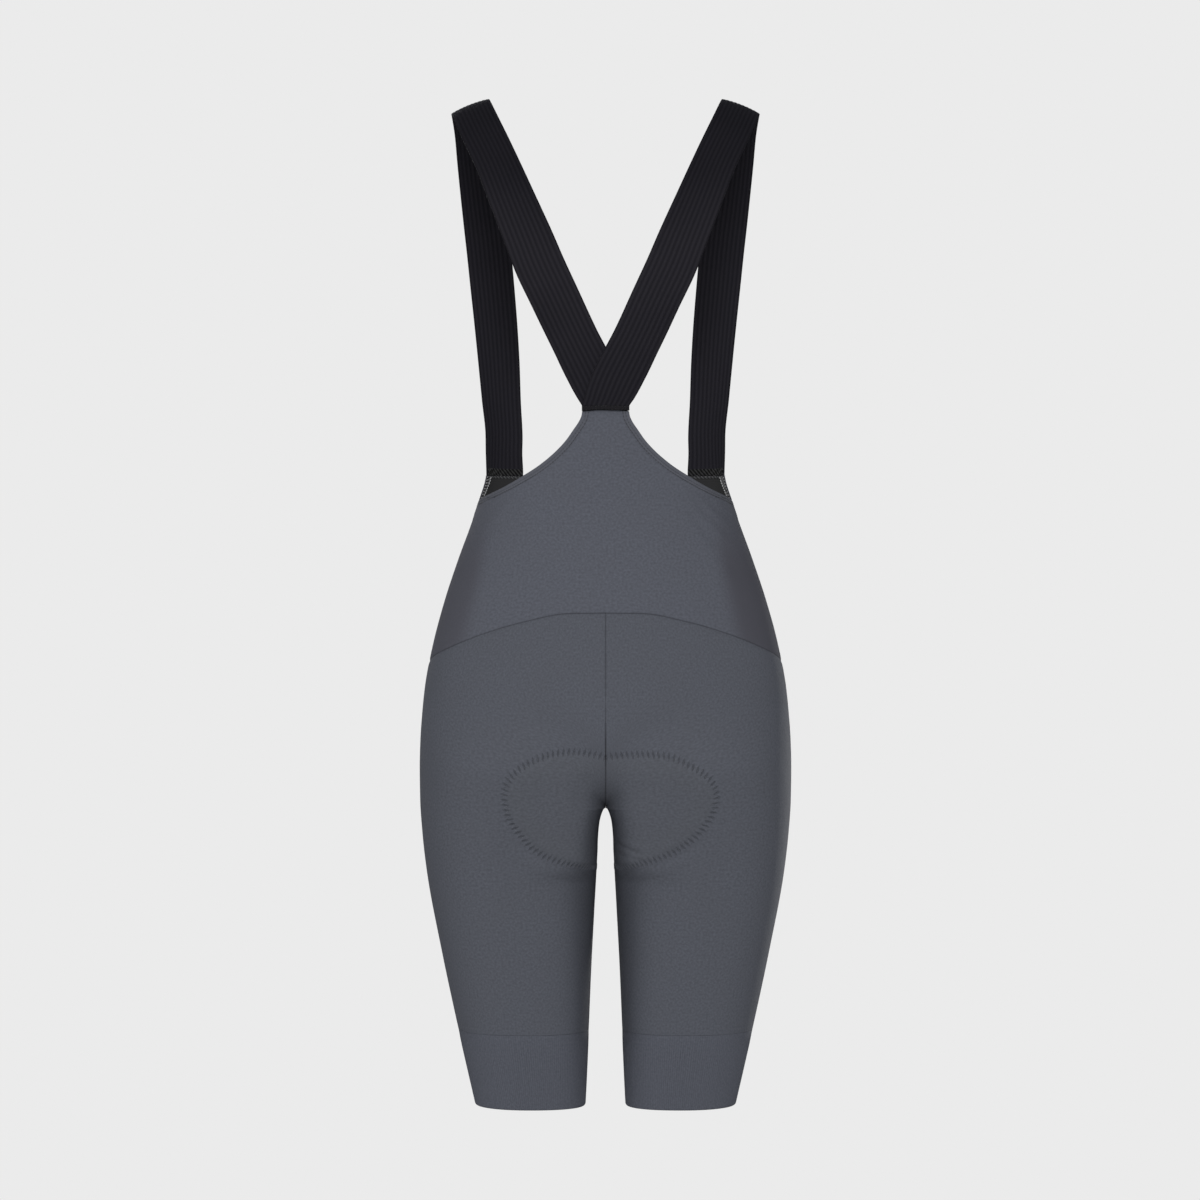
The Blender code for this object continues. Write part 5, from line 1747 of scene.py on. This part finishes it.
def threads(tree, dark, black, light):
    """The rows of stitches that show: twin rows on every turned hem, and one row inside each front armhole."""
    u, z = armhole_row()
    neck, front_arm = np.linspace(FOOT_INNER_ROUND, 1.0, 200), np.linspace(0.5, FOOT_OUTER_ROUND, 80)
    out, made = HEM_BAND_RISE + THREAD * 0.5, {}
    for name, around, height in (
        ("back_hem_stitches", u[3:], z[3:]),
        ("front_hem_stitches", front_arm, front_top(front_arm)),
        ("neckline_stitches", neck, front_top(neck)),
    ):
        rows = []
        for path, lay in [inset_row(around, height, inset) for inset in HEM_ROWS]:
            rows += both_sides(*spaced_row(path + lay * out, lay, PATH_SPACING))
        made[name] = thread_row(name, rows, tree, thread=dark)
    path, lay = inset_row(front_arm, front_top(front_arm), INNER_ROW)
    deep = KNIT_WALL + SEAM_GAP + ALLOWANCE_WALL + 0.0003
    rows = both_sides(*spaced_row(path - lay * deep, -lay, PATH_SPACING))
    name = "inner_hem_stitches"
    made[name] = thread_row(name, rows, tree, thread=light, thread_radius=INNER_THREAD)
    rows = [tape_row(APEX_HEIGHT + 0.0009), tape_row(TAPE_TOP - 0.0010)]
    made["junction_stitches"] = thread_row("junction_stitches", rows, tree, thread=black)
    return made


# Slots of the pieces and of what is sewn to them, and the sheet that each seam, hem or row of stitches goes with,
# by the start of its name

SLOTS = {
    "leg_panel": "leg_knit",
    "leg_gripper": "gripper_rib",
    "strap_junction": "junction_tape",
    "strap": "strap_elastic",
    "seat_pad": "pad_foam",
    "back": "bib_knit",
    "front": "bib_knit",
}
SEWN_SLOTS = {
    **dict.fromkeys(("strap_foot", "junction", "point"), "strap_elastic"),
    **dict.fromkeys(("gripper", "seat", "centre", "waist"), "leg_knit"),
    "": "bib_knit",
}
SEWN_ON = {
    **dict.fromkeys(("back_hem", "side", "point", "waist"), "back_bib"),
    **dict.fromkeys(("front_hem", "neck", "inner_hem", "foot_edge"), "front_bib"),
    "centre": "leg_panel_left",
    "seat_zigzag_left": "leg_panel_left",
    "seat_zigzag_right": "leg_panel_right",
    "gripper_allowance_left": "leg_gripper_left",
    "gripper_allowance_right": "leg_gripper_right",
    "strap_foot_left": "strap_left",
    "strap_foot_right": "strap_right",
    "junction": "strap_junction_tape",
}


def first_match(table, name):
    """What a table says of the first of its starts that a name begins with."""
    return next(value for start, value in table.items() if name.startswith(start))


def main():
    """The studio, the finishes, and every piece and what is sewn to it."""
    studio()
    leg_knit = knit("leg_knit", (0.100, 0.107, 0.129), sheen=0.01, wale=0.00062, roughness=0.86, zigzag=True)
    bib_knit = knit("bib_knit", (0.107, 0.114, 0.139), sheen=0.01, wale=0.0007, roughness=0.9)
    gripper_knit = gripper_cloth("gripper_knit", (0.0995, 0.1065, 0.1305), sheen=0.01)
    black_elastic = elastic("black_elastic", (0.0067, 0.0066, 0.0100), sheen=0.04)
    band_cloth = elastic("band_cloth", (0.0085, 0.0085, 0.0100), sheen=0.03)
    dark_thread = thread_finish("dark_thread", (0.040, 0.042, 0.050))
    black_thread = thread_finish("black_thread", (0.010, 0.010, 0.012))
    light_thread = thread_finish("light_thread", (0.55, 0.56, 0.57))
    seat_thread = thread_finish("seat_thread", (0.080, 0.086, 0.104))
    light = overlock("light_overlock", (0.012, 0.012, 0.013), (0.34, 0.34, 0.35))
    grey = overlock("grey_overlock", (0.035, 0.036, 0.039), (0.10, 0.10, 0.105))
    black = overlock("black_overlock", (0.0020, 0.0020, 0.0024), (0.045, 0.045, 0.046))
    brushed_pad = pad_cloth("brushed_pad", (0.045, 0.048, 0.056))
    ribs, stitches, thread = rib_tree(), stitch_tree(), thread_tree()

    pieces, sewn = {}, {}
    for side in SIDES:
        pieces[f"leg_panel_{side}"] = leg_panel(side, leg_knit)
        pieces[f"leg_gripper_{side}"] = leg_gripper(side, ribs, gripper_knit)
        pieces[f"strap_{side}"] = strap(side, ribs, black_elastic)
        sewn[f"seat_zigzag_{side}"] = seat_zigzag(side, pieces[f"leg_panel_{side}"], thread, seat_thread)
        sewn[f"gripper_allowance_{side}"] = gripper_allowance(side, grey)
        sewn[f"side_allowance_{side}"] = side_allowance(side, grey)
        sewn[f"back_hem_{side}"] = back_hem(side, grey)
        sewn[f"front_hem_{side}"] = front_hem("front_hem", side, 0.5, FOOT_OUTER_ROUND, light, width=FRONT_HEM_STRIP)
        sewn[f"neck_hem_{side}"] = front_hem("neck_hem", side, FOOT_INNER_ROUND, 1.0, grey)
        sewn[f"strap_foot_{side}"] = strap_foot_strip(side, black)
        sewn[f"foot_edge_{side}"] = foot_edge(side, grey)
    pieces["back_bib"] = back_bib(bib_knit)
    pieces["front_bib"] = front_bib(bib_knit)
    pieces["strap_junction_tape"] = junction_tape(band_cloth)
    pieces["seat_pad"] = seat_pad(brushed_pad)
    sewn["waist_allowance"] = waist_allowance(grey)
    sewn["centre_allowance"] = centre_allowance(grey)
    sewn["point_facing"] = point_facing(black)
    sewn.update(threads(stitches, dark_thread, black_thread, light_thread))
    for cad_name, piece in pieces.items():
        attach(piece, "root")
        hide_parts(cad_name)
        first_match(SLOTS, cad_name)
    for name, piece in sewn.items():
        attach(piece, "root")
        first_match(SEWN_SLOTS, name)
    for cad_name, (width, length, area, held, rests_on) in CUTS.items():
        going = [piece for name, piece in sewn.items() if first_match(SEWN_ON, name) == cad_name]
        under = [pieces[other] for other in rests_on]

    box = [[list(corner) for corner in b] for b in (CAD_BOX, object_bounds())]


main()
